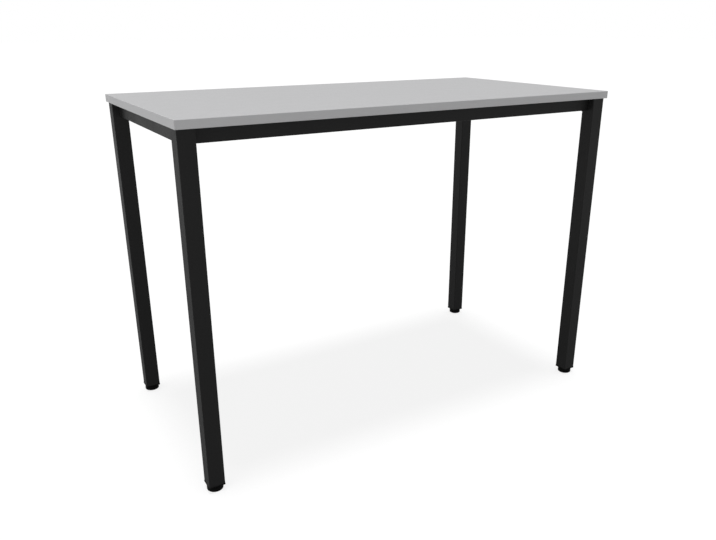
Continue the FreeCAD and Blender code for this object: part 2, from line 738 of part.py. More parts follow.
def make_nut():
    """The hexagon nut in the insert's boss: its lower face on z = 0."""
    body = new_body("nut_shape")
    outline = new_sketch(body, "nut_outline")
    draw_hexagon(outline, "Sizes.nut_flats")
    pad(body, outline, "Sizes.nut_height")
    bore = new_sketch(body, "nut_bore")
    draw_circle(bore, "Sizes.stud_diameter + 2 * Sizes.stud_fit")
    cut(body, bore)
    return body


HEAD_SEAT = "(Sizes.pad_thickness - Sizes.pad_proud + Sizes.pad_fit)"


def make_base():
    """The plastic foot: z = 0 at its rim, open below for the stud's head and the pad."""
    body = new_body("base_shape")
    rim = "Sizes.base_diameter / 2"
    profile = new_sketch(body, "base_profile", "XZ_Plane")
    draw_outline(profile, (("0", "0"),
                           (rim, "0"),
                           (rim, "Sizes.base_height - Sizes.base_shoulder"),
                           ("Sizes.base_top_diameter / 2", "Sizes.base_height"),
                           ("0", "Sizes.base_height")))
    disc = revolve(body, profile)
    round_edges(body, disc, circles_at(disc, "0"), "Sizes.base_round")

    flute = new_sketch(body, "base_flute")
    draw_circle(flute, "Sizes.grip_diameter",
                "(Sizes.base_diameter + Sizes.grip_diameter) / 2 - Sizes.grip_depth")
    first_flute = cut(body, flute)
    ring = body.newObject("PartDesign::PolarPattern", "base_flutes")
    ring.Originals = [first_flute]
    ring.Axis = (flute, ["N_Axis"])
    ring.Angle = 360
    ring.setExpression("Occurrences", "Sizes.grip_count")
    body.Tip = ring
    doc.recompute()

    recess = new_sketch(body, "base_recess")
    draw_circle(recess, "Sizes.pad_diameter + 2 * Sizes.pad_fit")
    cut(body, recess, HEAD_SEAT, forward=True)
    pocket = new_sketch(body, "base_head_pocket")
    draw_hexagon(pocket, "Sizes.stud_head_flats + 2 * Sizes.stud_fit")
    cut(body, pocket, HEAD_SEAT + " + Sizes.stud_head_height", forward=True)
    hole = new_sketch(body, "base_stud_hole")
    draw_circle(hole, "Sizes.stud_diameter + 2 * Sizes.stud_fit")
    cut(body, hole)
    return body


def make_stud():
    """The threaded stud: z = 0 at the foot's top, its hexagon head inside the foot."""
    body = new_body("stud_shape")
    under_head = "-(Sizes.base_height - %s - Sizes.stud_head_height)" % HEAD_SEAT
    head = new_sketch(body, "stud_head", height=under_head)
    draw_hexagon(head, "Sizes.stud_head_flats")
    pad(body, head, "Sizes.stud_head_height", downward=True)
    radius = "Sizes.stud_diameter / 2"
    shank = new_sketch(body, "stud_shank", "XZ_Plane")
    draw_outline(shank, (("0", under_head),
                         (radius, under_head),
                         (radius, "Sizes.stud_length - Sizes.stud_tip"),
                         (radius + " - Sizes.stud_tip", "Sizes.stud_length"),
                         ("0", "Sizes.stud_length")))
    revolve(body, shank)

    notch = new_sketch(body, "stud_notch", "XZ_Plane")
    outside = radius + " + Sizes.thread_depth"
    draw_outline(notch, ((radius + " - Sizes.thread_depth", "Sizes.thread_start"),
                         (outside, "Sizes.thread_start + Sizes.thread_groove"),
                         (outside, "Sizes.thread_start - Sizes.thread_groove")))
    groove = body.newObject("PartDesign::Groove", "stud_groove")
    groove.Profile = notch
    groove.ReferenceAxis = (notch, ["V_Axis"])
    groove.Angle = 360
    doc.recompute()
    thread = body.newObject("PartDesign::LinearPattern", "stud_thread")
    thread.Originals = [groove]
    thread.Direction = (notch, ["V_Axis"])
    thread.Mode = "Spacing"
    thread.setExpression("Offset", "Sizes.thread_pitch")
    thread.setExpression("Occurrences", "floor((Sizes.stud_length - Sizes.thread_start"
                         " - Sizes.stud_tip) / Sizes.thread_pitch)")
    body.Tip = thread
    doc.recompute()
    return body


def make_pad():
    """The non-slip disc that the foot turns on."""
    body = new_body("pad_shape")
    outline = new_sketch(body, "pad_outline")
    draw_circle(outline, "Sizes.pad_diameter")
    pad(body, outline, "Sizes.pad_thickness")
    return body


NUT_Z = "(%s + Sizes.insert_flange + Sizes.boss_height - Sizes.nut_height)" % FLANGE_BOTTOM
place_at_legs(make_insert(), "leg_insert", FLANGE_BOTTOM)
place_at_legs(make_nut(), "insert_nut", NUT_Z)
place_at_legs(make_base(), "foot_base", "Sizes.pad_proud")
place_at_legs(make_stud(), "foot_stud", FOOT_TOP)
place_at_legs(make_pad(), "foot_pad", "0")


# ---------------------------------------------------------------- checks and files

doc.recompute()
failed = [item.Name for item in doc.Objects if "Invalid" in item.State or "Error" in item.State]
if failed:
    raise RuntimeError("failed objects: " + ", ".join(failed))

os.makedirs("parts", exist_ok=True)
for node in nodes:
    shape = Part.getShape(node)
    if shape.isNull() or not shape.isValid() or not shape.Solids:
        raise RuntimeError("%s has no sound shape" % node.Label)
    shape.exportStep("parts/%s.step" % node.Label)
    box = shape.BoundBox
    print("%-28s %2d solid(s) %12.1f mm3   z %8.2f to %8.2f"
          % (node.Label, len(shape.Solids), shape.Volume, box.ZMin, box.ZMax))
print("%d sub-parts" % len(nodes))
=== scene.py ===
# %% [markdown]
# # Dressing a standing meeting table
#
# A steel frame carries a melamine worktop at standing height. The construction is ready made and
# comes in as a fixed frame of named nodes. This lesson models what the eye looks for on each of
# them, such as rounded tube corners, folded sheet, weld beads, fluted feet and threads, and gives
# every surface a finish made of nodes. Metres, +Z up, the front is -Y and the left is -X.

# %% Load the frame
import math

import bmesh
import bpy
from mathutils import Matrix, Vector


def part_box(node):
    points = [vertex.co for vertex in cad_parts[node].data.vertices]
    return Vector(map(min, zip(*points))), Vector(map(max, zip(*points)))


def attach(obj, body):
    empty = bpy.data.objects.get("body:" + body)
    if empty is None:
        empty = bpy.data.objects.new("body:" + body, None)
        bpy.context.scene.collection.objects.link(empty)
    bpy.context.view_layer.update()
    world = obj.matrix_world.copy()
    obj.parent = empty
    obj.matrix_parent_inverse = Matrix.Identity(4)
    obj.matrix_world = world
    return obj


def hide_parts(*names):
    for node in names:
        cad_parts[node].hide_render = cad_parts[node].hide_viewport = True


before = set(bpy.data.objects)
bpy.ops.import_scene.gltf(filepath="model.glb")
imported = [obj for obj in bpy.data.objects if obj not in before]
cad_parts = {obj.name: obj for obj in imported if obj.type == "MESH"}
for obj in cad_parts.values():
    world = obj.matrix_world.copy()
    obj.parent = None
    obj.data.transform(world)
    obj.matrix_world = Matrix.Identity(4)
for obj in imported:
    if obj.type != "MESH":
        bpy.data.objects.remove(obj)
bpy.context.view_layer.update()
MM = 0.001

# %% [markdown]
# ## The camera
#
# A picture of a table is read first by its perspective, so the camera comes before anything else.
# It stands to the left of the front, a little above the worktop, and looks down at the frame. Its
# focal length and the middle of its picture are given in pixels of a 716 by 540 frame, and the
# lens and the shift follow from them, because a camera in Blender measures both against the
# picture's width.

# %% Set up the camera
IMAGE_WIDTH = 716
IMAGE_HEIGHT = 540
FOCAL_PIXELS = 692.2
CENTRE_COLUMN = 369.0
CENTRE_ROW = 279.0
CAMERA_PLACE = (-1.2574, -2.1297, 1.3333)
CAMERA_TURN = 31.1
CAMERA_TILT = 20.13

camera_data = bpy.data.cameras.new("camera")
camera_data.lens = camera_data.sensor_width * FOCAL_PIXELS / IMAGE_WIDTH
camera_data.shift_x = (IMAGE_WIDTH / 2 - CENTRE_COLUMN) / IMAGE_WIDTH
camera_data.shift_y = (CENTRE_ROW - IMAGE_HEIGHT / 2) / IMAGE_WIDTH
camera = bpy.data.objects.new("camera", camera_data)
camera.location = CAMERA_PLACE
camera.rotation_euler = (math.radians(90 - CAMERA_TILT), 0, math.radians(-CAMERA_TURN))
bpy.context.collection.objects.link(camera)
bpy.context.scene.camera = camera
print("camera: lens %.1f mm, shift %.4f, %.4f"
      % (camera_data.lens, camera_data.shift_x, camera_data.shift_y))

# %% [markdown]
# ## The studio
#
# The table stands on a pale floor in an even white room. A soft light straight overhead lights the
# worktop and puts the table's shadow right under it, a large softbox on the left makes the left
# faces a little brighter than the front ones, and the room's own light fills the rest. To the
# camera the floor is nearly white, as an overexposed studio floor is. To the table it is a pale
# grey that grows lighter with distance, so that it doesn't flood the black frame with its
# reflection, and the rails and the upper legs, which mirror the far floor, come out a little
# lighter than the feet. It is left out from below, so that the underside can be looked at.

# %% Helpers for nodes
def give(tree, node, inputs):
    """Give a node's inputs numbers, colours or the outputs of other nodes."""
    for socket, given in inputs.items():
        if isinstance(given, bpy.types.NodeSocket):
            tree.links.new(given, node.inputs[socket])
        else:
            node.inputs[socket].default_value = given


def add_node(tree, kind, inputs=None, **settings):
    """A shader node with some of its settings and inputs."""
    node = tree.nodes.new("ShaderNode" + kind)
    for name, setting in settings.items():
        setattr(node, name, setting)
    give(tree, node, inputs or {})
    return node


def mix_shaders(tree, share, first, second):
    """Mix two shaders by a share, as an output."""
    return add_node(tree, "MixShader", {0: share, 1: first, 2: second}).outputs[0]


print("helpers for nodes are ready")

# %% Light the room
ROOM_LIGHT = 0.38
OVERHEAD_PLACE = Vector((0, 0, 3))
OVERHEAD_AIM = Vector((0, 0, 0))
OVERHEAD_STRENGTH = 2.41
OVERHEAD_WIDTH = 14
SOFTBOX_PLACE = Vector((-3.3, -0.9, 2.0))
SOFTBOX_AIM = Vector((0, 0, 0.9))
SOFTBOX_SIDE = 2.4
SOFTBOX_POWER = 13


def light_room():
    """An even white room that is brighter to the camera than to the table."""
    room = bpy.data.worlds.new("room")
    room.use_nodes = True
    tree = room.node_tree
    tree.nodes.clear()
    thrown, seen = (
        add_node(tree, "Background", {"Color": (1, 1, 1, 1), "Strength": strength}).outputs[0]
        for strength in (ROOM_LIGHT, 1))
    camera_ray = add_node(tree, "LightPath").outputs["Is Camera Ray"]
    add_node(tree, "OutputWorld", {"Surface": mix_shaders(tree, camera_ray, thrown, seen)})
    bpy.context.scene.world = room


def add_light(name, kind, strength, place, aim):
    """A lamp at a place that shines towards a point."""
    data = bpy.data.lights.new(name, kind)
    data.energy = strength
    lamp = bpy.data.objects.new(name, data)
    lamp.location = place
    lamp.rotation_euler = (place - aim).to_track_quat("Z", "Y").to_euler()
    bpy.context.collection.objects.link(lamp)
    return data


bpy.context.scene.view_settings.view_transform = "Standard"
light_room()
overhead = add_light("overhead", "SUN", OVERHEAD_STRENGTH, OVERHEAD_PLACE, OVERHEAD_AIM)
overhead.angle = math.radians(OVERHEAD_WIDTH)
softbox = add_light("softbox", "AREA", SOFTBOX_POWER, SOFTBOX_PLACE, SOFTBOX_AIM)
softbox.size = SOFTBOX_SIDE
print("room light", ROOM_LIGHT, "overhead", OVERHEAD_STRENGTH, "softbox", SOFTBOX_POWER)

# %% Lay the floor
FLOOR_REACH = 120
FLOOR_DROP = 0.1 * MM
FLOOR_TONE = 0.20
GLOW_SEEN = 0.82
GLOW_NEAR = 0.25
GLOW_FAR = 0.68
NEAR_REACH = 1.2
FAR_REACH = 6


def make_floor_paper():
    """Pale paper that glows for the camera, glows less for the table, and is clear from below."""
    paper = bpy.data.materials.new("floor_paper")
    paper.use_nodes = True
    tree = paper.node_tree
    tree.nodes.clear()
    matt = add_node(tree, "BsdfDiffuse", {"Color": (FLOOR_TONE, FLOOR_TONE, FLOOR_TONE, 1)})
    place = add_node(tree, "TexCoord").outputs["Object"]
    distance = add_node(tree, "VectorMath", {0: place}, operation="LENGTH").outputs["Value"]
    thrown = add_node(tree, "MapRange", {
        "Value": distance, "From Min": NEAR_REACH, "From Max": FAR_REACH,
        "To Min": GLOW_NEAR, "To Max": GLOW_FAR}, interpolation_type="SMOOTHSTEP").outputs[0]
    camera_ray = add_node(tree, "LightPath").outputs["Is Camera Ray"]
    strength = add_node(tree, "MapRange", {
        "Value": camera_ray, "To Min": thrown, "To Max": GLOW_SEEN}).outputs[0]
    glow = add_node(tree, "Emission", {"Strength": strength})
    white = add_node(tree, "AddShader", {0: matt.outputs[0], 1: glow.outputs[0]}).outputs[0]
    below = add_node(tree, "NewGeometry").outputs["Backfacing"]
    clear = add_node(tree, "BsdfTransparent").outputs[0]
    add_node(tree, "OutputMaterial", {"Surface": mix_shaders(tree, below, white, clear)})
    return paper


bpy.ops.object.select_all(action="DESELECT")
bpy.ops.mesh.primitive_plane_add(size=FLOOR_REACH, location=(0, 0, -FLOOR_DROP))
floor = bpy.context.object
floor.name = "floor"
bpy.ops.object.transform_apply(location=True, rotation=True, scale=True)
floor.data.materials.append(make_floor_paper())
print("floor:", FLOOR_REACH, "m across")

# %% [markdown]
# ## Shared effects
#
# Several finishes need the same few effects: the fine relief of a sprayed or moulded surface, a
# slow drift of tone, a lighter line on convex edges that is partly paint thinned by wear and
# partly a painted highlight, and dust that settles on what faces up. Each is built once as a node
# group with named inputs, and every material places it with its own values.
# The groups read Object coordinates, which are the table's own metres here, so a grain of one
# millimetre is one millimetre on every piece. Most finishes go together in the same way too, so
# that way is written once, as a recipe.

# %% Helpers for node groups
def new_group(name, values, results):
    """An empty node group with a place, some numbers and their start values, and its results."""
    group = bpy.data.node_groups.new(name, "ShaderNodeTree")
    group.interface.new_socket("Place", in_out="INPUT", socket_type="NodeSocketVector")
    for label, start in values.items():
        socket = group.interface.new_socket(label, in_out="INPUT", socket_type="NodeSocketFloat")
        socket.default_value = start
    for label in results:
        group.interface.new_socket(label, in_out="OUTPUT", socket_type="NodeSocketFloat")
    given = group.nodes.new("NodeGroupInput").outputs
    return group, given, group.nodes.new("NodeGroupOutput")


def add_math(tree, operation, first, second):
    """One sum, as an output."""
    return add_node(tree, "Math", {0: first, 1: second}, operation=operation).outputs[0]


def add_noise(tree, place, scale, detail):
    """A noise pattern from 0 to 1, as an output."""
    noise = add_node(tree, "TexNoise", {"Vector": place, "Scale": scale, "Detail": detail})
    return noise.outputs["Fac"]


def add_range(tree, value, low, high):
    """Stretch a range of values to 0 and 1, with soft ends."""
    return add_node(tree, "MapRange", {"Value": value, "From Min": low, "From Max": high},
                    interpolation_type="SMOOTHSTEP").outputs[0]


print("helpers for groups are ready")

# %% Fine relief of a sprayed, pressed or moulded surface
FINER = 2.7
COARSE_SHARE = 0.6


def build_relief():
    """Height of two grains, one finer, and a slow drift of tone."""
    group, given, result = new_group(
        "fine_relief", {"Grain": 0.001, "Drift": 0.2}, ("Height", "Tone"))
    scale = add_math(group, "DIVIDE", 1.0, given["Grain"])
    finer = add_math(group, "MULTIPLY", scale, FINER)
    coarse = add_noise(group, given["Place"], scale, detail=1)
    fine = add_noise(group, given["Place"], finer, detail=1)
    height = add_math(group, "ADD", add_math(group, "MULTIPLY", coarse, COARSE_SHARE),
                      add_math(group, "MULTIPLY", fine, 1 - COARSE_SHARE))
    slow = add_math(group, "DIVIDE", 1.0, given["Drift"])
    tone = add_noise(group, given["Place"], slow, detail=3)
    give(group, result, {"Height": height, "Tone": tone})
    return group


relief_group = build_relief()
print("group", relief_group.name)

# %% Edges with thinned paint and a painted highlight
EDGE_RANGE = (0.02, 0.25)
PATCH_RANGE = (0.45, 0.65)


def build_edge_wear_and_highlight():
    """A mask along convex edges, where the bevel's normal leaves the face's, broken by noise."""
    # The mask lightens convex edges: partly paint thinned by wear, partly a painted highlight.
    group, given, result = new_group("edge_wear_and_highlight", {"Width": 0.001, "Patches": 0.02}, ("Mask",))
    bevel = add_node(group, "Bevel", {"Radius": given["Width"]}, samples=4).outputs[0]
    normal = add_node(group, "NewGeometry").outputs["Normal"]
    likeness = add_node(group, "VectorMath", {0: bevel, 1: normal}, operation="DOT_PRODUCT")
    leaving = add_math(group, "SUBTRACT", 1.0, likeness.outputs["Value"])
    spread = add_math(group, "DIVIDE", 1.0, given["Patches"])
    patches = add_noise(group, given["Place"], spread, detail=4)
    mask = add_math(group, "MULTIPLY", add_range(group, leaving, *EDGE_RANGE),
                    add_range(group, patches, *PATCH_RANGE))
    give(group, result, {"Mask": mask})
    return group


edge_wear_and_highlight_group = build_edge_wear_and_highlight()
print("group", edge_wear_and_highlight_group.name)

# %% Dust on what faces up
UPWARD_RANGE = (0.5, 0.95)
DUST_SCALE = 45.0


def build_dust():
    """A faint patchy mask on faces that look up."""
    group, given, result = new_group("settled_dust", {"Amount": 0.1}, ("Mask",))
    normal = add_node(group, "NewGeometry").outputs["Normal"]
    parts = add_node(group, "SeparateXYZ", {0: normal}).outputs
    upward = add_range(group, parts["Z"], *UPWARD_RANGE)
    patches = add_noise(group, given["Place"], DUST_SCALE, detail=5)
    cover = add_math(group, "MULTIPLY", upward, patches)
    give(group, result, {"Mask": add_math(group, "MULTIPLY", cover, given["Amount"])})
    return group


dust_group = build_dust()
print("group", dust_group.name)

# %% Helpers for materials
# The numbers of a Mix node's sockets for colours.
MIX_SHARE, MIX_FIRST, MIX_SECOND, MIX_RESULT = 0, 6, 7, 2


def new_material(name, **constants):
    """A material with one Principled shader, whose fixed values are set on its own sockets."""
    material = bpy.data.materials.new(name)
    material.use_nodes = True
    tree = material.node_tree
    shader = tree.nodes["Principled BSDF"]
    for socket, value in constants.items():
        shader.inputs[socket.replace("_", " ")].default_value = value
    return material, tree, shader, add_node(tree, "TexCoord").outputs["Object"]


def add_group(tree, group, **inputs):
    """Place a shared group in a material, and hand over its outputs."""
    return add_node(tree, "Group", inputs, node_tree=group).outputs


def add_blend(tree, share, first, second):
    """Mix two colours by a share, as an output."""
    return add_node(tree, "Mix", {MIX_SHARE: share, MIX_FIRST: first, MIX_SECOND: second},
                    data_type="RGBA").outputs[MIX_RESULT]


def set_up_shader(tree, shader, colour, gloss, roughness, height, depth):
    """Give the shader a colour, a roughness that a mask moves between two ends, and a bump."""
    low, high = roughness
    span = add_node(tree, "MapRange", {"Value": gloss, "To Min": low, "To Max": high})
    bump = add_node(tree, "Bump", {"Height": height, "Distance": depth})
    give(tree, shader, {
        "Base Color": colour, "Roughness": span.outputs[0], "Normal": bump.outputs[0]})


print("helpers for materials are ready")

# %% The recipe of a plain finish
def grey(level, warmth=0.0):
    """A grey as a colour, a little warmer where asked."""
    return (level * (1 + warmth), level, level * (1 - warmth), 1)


def make_finish(name, grain, drift, colours, gloss, roughness, depth, edge=None, dust=None,
                **constants):
    """A finish that drifts between two tones. Its gloss follows the relief's height or tone."""
    material, tree, shader, place = new_material(name, **constants)
    relief = add_group(tree, relief_group, Place=place, Grain=grain, Drift=drift)
    colour = add_blend(tree, relief["Tone"], *colours)
    # Convex edges get a lighter colour: partly paint thinned by wear, partly a painted highlight.
    if edge:
        edge_wear_and_highlight_mask = add_group(tree, edge_wear_and_highlight_group, Place=place, Width=edge["width"],
                         Patches=edge["patches"])["Mask"]
        edge_wear_and_highlight_share = add_math(tree, "MULTIPLY", edge_wear_and_highlight_mask, edge["share"])
        colour = add_blend(tree, edge_wear_and_highlight_share, colour, edge["colour"])
    if dust:
        settled = add_group(tree, dust_group, Place=place, Amount=dust["amount"])["Mask"]
        colour = add_blend(tree, settled, colour, dust["colour"])
    set_up_shader(tree, shader, colour, relief[gloss], roughness, relief["Height"], depth)
    return material


print("recipe is ready")

# %% [markdown]
# ## Melamine, edge band and chipboard
#
# The worktop is chipboard between two sheets of melamine paper, pressed against a finely matt
# plate. What shows is a plain light grey with a barely visible mottle and a soft, slightly uneven
# gloss, so the colour moves by a few percent only and the relief is less than a tenth of a
# millimetre. The edge band is solid plastic of the same grey, a little smoother. Chipboard shows
# inside the drilled holes alone.

# %% Melamine
TOP_LEVEL = 0.50
TOP_BLUE = 1.014
SPECKLE_RANGE = (0.38, 0.62)
SLOW_SHARE = 0.4


def top_grey(share):
    """The worktop's grey at a share of its level, with a trace of blue."""
    level = TOP_LEVEL * share
    return (level, level, level * TOP_BLUE, 1)


def make_melamine():
    """Pressed melamine: a speckled print under a pearly relief, with a slow drift of gloss."""
    material, tree, shader, place = new_material("melamine", Specular_IOR_Level=0.4)
    pearl = add_group(tree, relief_group, Place=place, Grain=0.9 * MM, Drift=0.35)
    dots = add_group(tree, relief_group, Place=place, Grain=4.2 * MM, Drift=0.05)
    speckle = add_range(tree, dots["Height"], *SPECKLE_RANGE)
    fine = add_blend(tree, speckle, top_grey(0.94), top_grey(1.03))
    slow = add_math(tree, "MULTIPLY", pearl["Tone"], SLOW_SHARE)
    colour = add_blend(tree, slow, fine, top_grey(0.965))
    set_up_shader(tree, shader, colour, gloss=dots["Tone"], roughness=(0.38, 0.56),
                  height=pearl["Height"], depth=0.07 * MM)
    return material


melamine = make_melamine()
print("material:", melamine.name)

# %% Edge band and chipboard
CHIP_SCALE = 420.0
CHIP_DARK = (0.22, 0.13, 0.07, 1)
CHIP_LIGHT = (0.58, 0.42, 0.26, 1)


def make_chipboard():
    """Pressed wood chips: cells of mixed tan, with a rough cut."""
    material, tree, shader, place = new_material("chipboard", Specular_IOR_Level=0.2)
    cells = add_node(tree, "TexVoronoi", {"Vector": place, "Scale": CHIP_SCALE}).outputs
    chips = add_node(tree, "ValToRGB", {0: cells["Color"]})
    for stop, colour in zip(chips.color_ramp.elements, (CHIP_DARK, CHIP_LIGHT)):
        stop.color = colour
    set_up_shader(tree, shader, chips.outputs[0], gloss=cells["Distance"],
                  roughness=(0.75, 0.95), height=cells["Distance"], depth=0.25 * MM)
    return material


edge_plastic = make_finish(
    "edge_plastic", grain=0.7 * MM, drift=0.09, colours=(top_grey(0.965), top_grey(1.06)),
    gloss="Tone", roughness=(0.34, 0.48), depth=0.04 * MM, Specular_IOR_Level=0.45)
chipboard = make_chipboard()
print("materials:", edge_plastic.name, chipboard.name)

# %% [markdown]
# ## Powder coat
#
# The steel is powder coated in black: baked plastic powder, which leaves a fine orange peel and a
# satin sheen, thins along sharp edges and catches a little dust where it faces up. The lighter
# edges are partly that thinned paint and partly a painted highlight. Black paint is easily made
# too glossy or too grey. Its colour is kept near one percent and most of what the eye gets is the
# soft reflection of the pale floor, so the shader's specular level and the roughness carry the
# look.

# %% Black powder coat
# The edge colour is a lighter grey on convex edges: partly thinned paint, partly a painted
# highlight.
powder_coat = make_finish(
    "powder_coat", grain=1.2 * MM, drift=0.10, colours=(grey(0.0095), grey(0.0145)),
    gloss="Tone", roughness=(0.44, 0.60), depth=0.14 * MM,
    edge={"width": 0.9 * MM, "patches": 0.03, "share": 0.22, "colour": grey(0.06, 0.02)},
    dust={"amount": 0.12, "colour": grey(0.24, 0.03)}, Specular_IOR_Level=0.20)
print("material:", powder_coat.name)

# %% [markdown]
# ## Small parts: zinc, moulded plastic and rubber
#
# The screws, bolts, nuts and studs are zinc plated: bright, slightly blue metal whose roughness
# drifts from crystal to crystal. The feet and the inserts are moulded in black plastic with a
# spark-eroded grain. The disc under each foot is rubber, which hardly shines at all.

# %% Zinc, plastic and rubber
zinc = make_finish(
    "zinc", grain=0.8 * MM, drift=0.004, colours=((0.50, 0.52, 0.55, 1), (0.68, 0.68, 0.66, 1)),
    gloss="Tone", roughness=(0.24, 0.46), depth=0.02 * MM, Metallic=1.0)
# The moulded plastic gets the same lighter convex edges: partly wear, partly a painted highlight.
plastic = make_finish(
    "moulded_plastic", grain=0.5 * MM, drift=0.02, colours=(grey(0.0008), grey(0.0016)),
    gloss="Height", roughness=(0.40, 0.58), depth=0.05 * MM,
    edge={"width": 0.6 * MM, "patches": 0.008, "share": 0.25, "colour": grey(0.03)},
    dust={"amount": 0.10, "colour": grey(0.2, 0.04)}, Specular_IOR_Level=0.10)
rubber = make_finish(
    "rubber", grain=0.4 * MM, drift=0.01, colours=(grey(0.008), grey(0.02)),
    gloss="Height", roughness=(0.78, 0.95), depth=0.08 * MM, Specular_IOR_Level=0.2)
print("materials:", zinc.name, plastic.name, rubber.name)

# %% [markdown]
# ## Modelling by operator
#
# Every piece below starts as a primitive and is shaped in edit mode, as by hand. With no mouse,
# the edges and faces to work on are picked in code, by where they lie or how they run. Modifiers
# give walls their thickness, cut holes and round the last sharp edges, and are applied, so that
# what is left is a plain mesh at its real place.

# %% Helpers for picking
# How near counts as touching, and how well an edge or a normal has to follow an axis.
TOUCH = 0.01 * MM
ALONG = 0.999
FACING = 0.9


def only(piece):
    """Select one object and make it the active one."""
    bpy.ops.object.select_all(action="DESELECT")
    piece.select_set(True)
    bpy.context.view_layer.objects.active = piece


def open_mesh(piece, kind="EDGE"):
    """Go into edit mode on one piece, with nothing selected."""
    only(piece)
    bpy.ops.object.mode_set(mode="EDIT")
    bpy.ops.mesh.select_mode(type=kind)
    bpy.ops.mesh.select_all(action="DESELECT")


def close_mesh():
    """Go back to object mode."""
    bpy.ops.object.mode_set(mode="OBJECT")


def pick_all():
    """In edit mode, select everything."""
    bpy.ops.mesh.select_all(action="SELECT")


def pick(kind, test):
    """In edit mode, select only the parts of one kind that pass a test."""
    bpy.ops.mesh.select_mode(type=kind)
    bpy.ops.mesh.select_all(action="DESELECT")
    form = bmesh.from_edit_mesh(bpy.context.object.data)
    parts = {"VERT": form.verts, "EDGE": form.edges, "FACE": form.faces}[kind]
    picked = [part for part in parts if test(part)]
    if not picked:
        raise ValueError("nothing to pick on " + bpy.context.object.name)
    for part in picked:
        part.select_set(True)
    form.select_flush_mode()
    bmesh.update_edit_mesh(bpy.context.object.data)


def runs_along(edge, axis):
    """True where an edge runs along X, Y or Z."""
    run = (edge.verts[1].co - edge.verts[0].co).normalized()
    return abs(run[axis]) > ALONG


def lies_at(part, axis, level):
    """True where all corners of an edge or a face lie at one level."""
    return all(abs(corner.co[axis] - level) < TOUCH for corner in part.verts)


print("helpers for picking are ready")

# %% Helpers for shaping
def shift(x=0.0, y=0.0, z=0.0):
    """Move what is selected."""
    bpy.ops.transform.translate(value=(x, y, z))


def extrude(x=0.0, y=0.0, z=0.0):
    """Extrude what is selected and move the new part."""
    bpy.ops.mesh.extrude_region_move(TRANSFORM_OT_translate={"value": (x, y, z)})


def draw_in(share):
    """Scale what is selected towards the upright axis."""
    bpy.ops.transform.resize(value=(share, share, 1), center_override=(0, 0, 0))


def inset_in_turn(steps):
    """Inset the selected face by one width and depth after another."""
    for width, depth in steps:
        bpy.ops.mesh.inset(thickness=width, depth=depth)


def face_outwards():
    """In edit mode, turn all faces outwards."""
    pick_all()
    bpy.ops.mesh.normals_make_consistent(inside=False)


def round_picked(radius, steps=5, affect="EDGES"):
    """Round the picked edges or corners."""
    bpy.ops.mesh.bevel(offset=radius, offset_type="OFFSET", segments=steps, profile=0.5,
                       affect=affect, clamp_overlap=True)


def round_edges(piece, test, radius, steps=5):
    """Round the edges of a piece that pass a test."""
    open_mesh(piece)
    pick("EDGE", test)
    round_picked(radius, steps)
    close_mesh()


print("helpers for shaping are ready")

# %% Helpers for primitives
def settle(piece, name):
    """Name a new object and put its place into its mesh."""
    piece.name = name
    only(piece)
    bpy.ops.object.transform_apply(location=True, rotation=True, scale=True)
    return piece


def add_block(name, low, high):
    """A cube primitive stretched between two corners."""
    bpy.ops.object.select_all(action="DESELECT")
    bpy.ops.mesh.primitive_cube_add(size=1, location=(Vector(low) + Vector(high)) / 2)
    bpy.context.object.scale = Vector(high) - Vector(low)
    return settle(bpy.context.object, name)


def add_rod(name, radius, start, end, sides=32):
    """A cylinder primitive from one point to another."""
    bpy.ops.object.select_all(action="DESELECT")
    run = Vector(end) - Vector(start)
    bpy.ops.mesh.primitive_cylinder_add(vertices=sides, radius=radius, depth=run.length,
                                        location=(Vector(start) + Vector(end)) / 2,
                                        rotation=run.to_track_quat("Z", "Y").to_euler())
    return settle(bpy.context.object, name)


def add_post(name, radius, low, high, sides=32):
    """A cylinder on the upright axis, between two levels."""
    return add_rod(name, radius, (0, 0, low), (0, 0, high), sides)


def add_hexagon(name, flats, low, high):
    """A hexagon bar on the upright axis, with two corners on the X axis."""
    bar = add_post(name, flats / 2 / math.cos(math.pi / 6), low, high, sides=6)
    bar.rotation_euler.z = math.pi / 6
    return settle(bar, name)


print("helpers for primitives are ready")

# %% Helpers for modifiers
SMOOTH_UP_TO = 32
SHARP_FROM = 40


def apply_modifier(piece, kind, **settings):
    """Add a modifier, set it up and apply it."""
    modifier = piece.modifiers.new(kind, kind)
    for name, setting in settings.items():
        setattr(modifier, name, setting)
    only(piece)
    bpy.ops.object.modifier_apply(modifier=modifier.name)


def combine(piece, operation, others):
    """Weld other solids to a piece, cut them away or keep what is shared, and remove them."""
    for other in others:
        apply_modifier(piece, "BOOLEAN", operation=operation, solver="EXACT", object=other)
        bpy.data.objects.remove(other)


def drill(piece, radius, runs, sides=32):
    """Drill holes of one radius, each along a run from one point to another."""
    combine(piece, "DIFFERENCE", [add_rod("drill", radius, *run, sides) for run in runs])


def smooth(piece, up_to=SMOOTH_UP_TO):
    """Shade smoothly up to an angle, with the large faces kept flat."""
    only(piece)
    bpy.ops.object.shade_smooth_by_angle(angle=math.radians(up_to))
    apply_modifier(piece, "WEIGHTED_NORMAL", mode="FACE_AREA", weight=80, keep_sharp=True)


def ease_edges(piece, width):
    """Round every edge that is still sharp, then shade the piece."""
    apply_modifier(piece, "BEVEL", width=width, segments=2, limit_method="ANGLE",
                   angle_limit=math.radians(SHARP_FROM), use_clamp_overlap=True)
    smooth(piece)


print("helpers for modifiers are ready")

# %% Helpers for finished pieces
def joined(name, pieces):
    """Several objects as one."""
    bpy.ops.object.select_all(action="DESELECT")
    for piece in pieces:
        piece.select_set(True)
    bpy.context.view_layer.objects.active = pieces[0]
    bpy.ops.object.join()
    pieces[0].name = name
    return pieces[0]


def copied(master, name, matrix):
    """A copy with its own mesh, at another place."""
    piece = bpy.data.objects.new(name, master.data.copy())
    bpy.context.collection.objects.link(piece)
    piece.matrix_world = matrix
    return settle(piece, name)


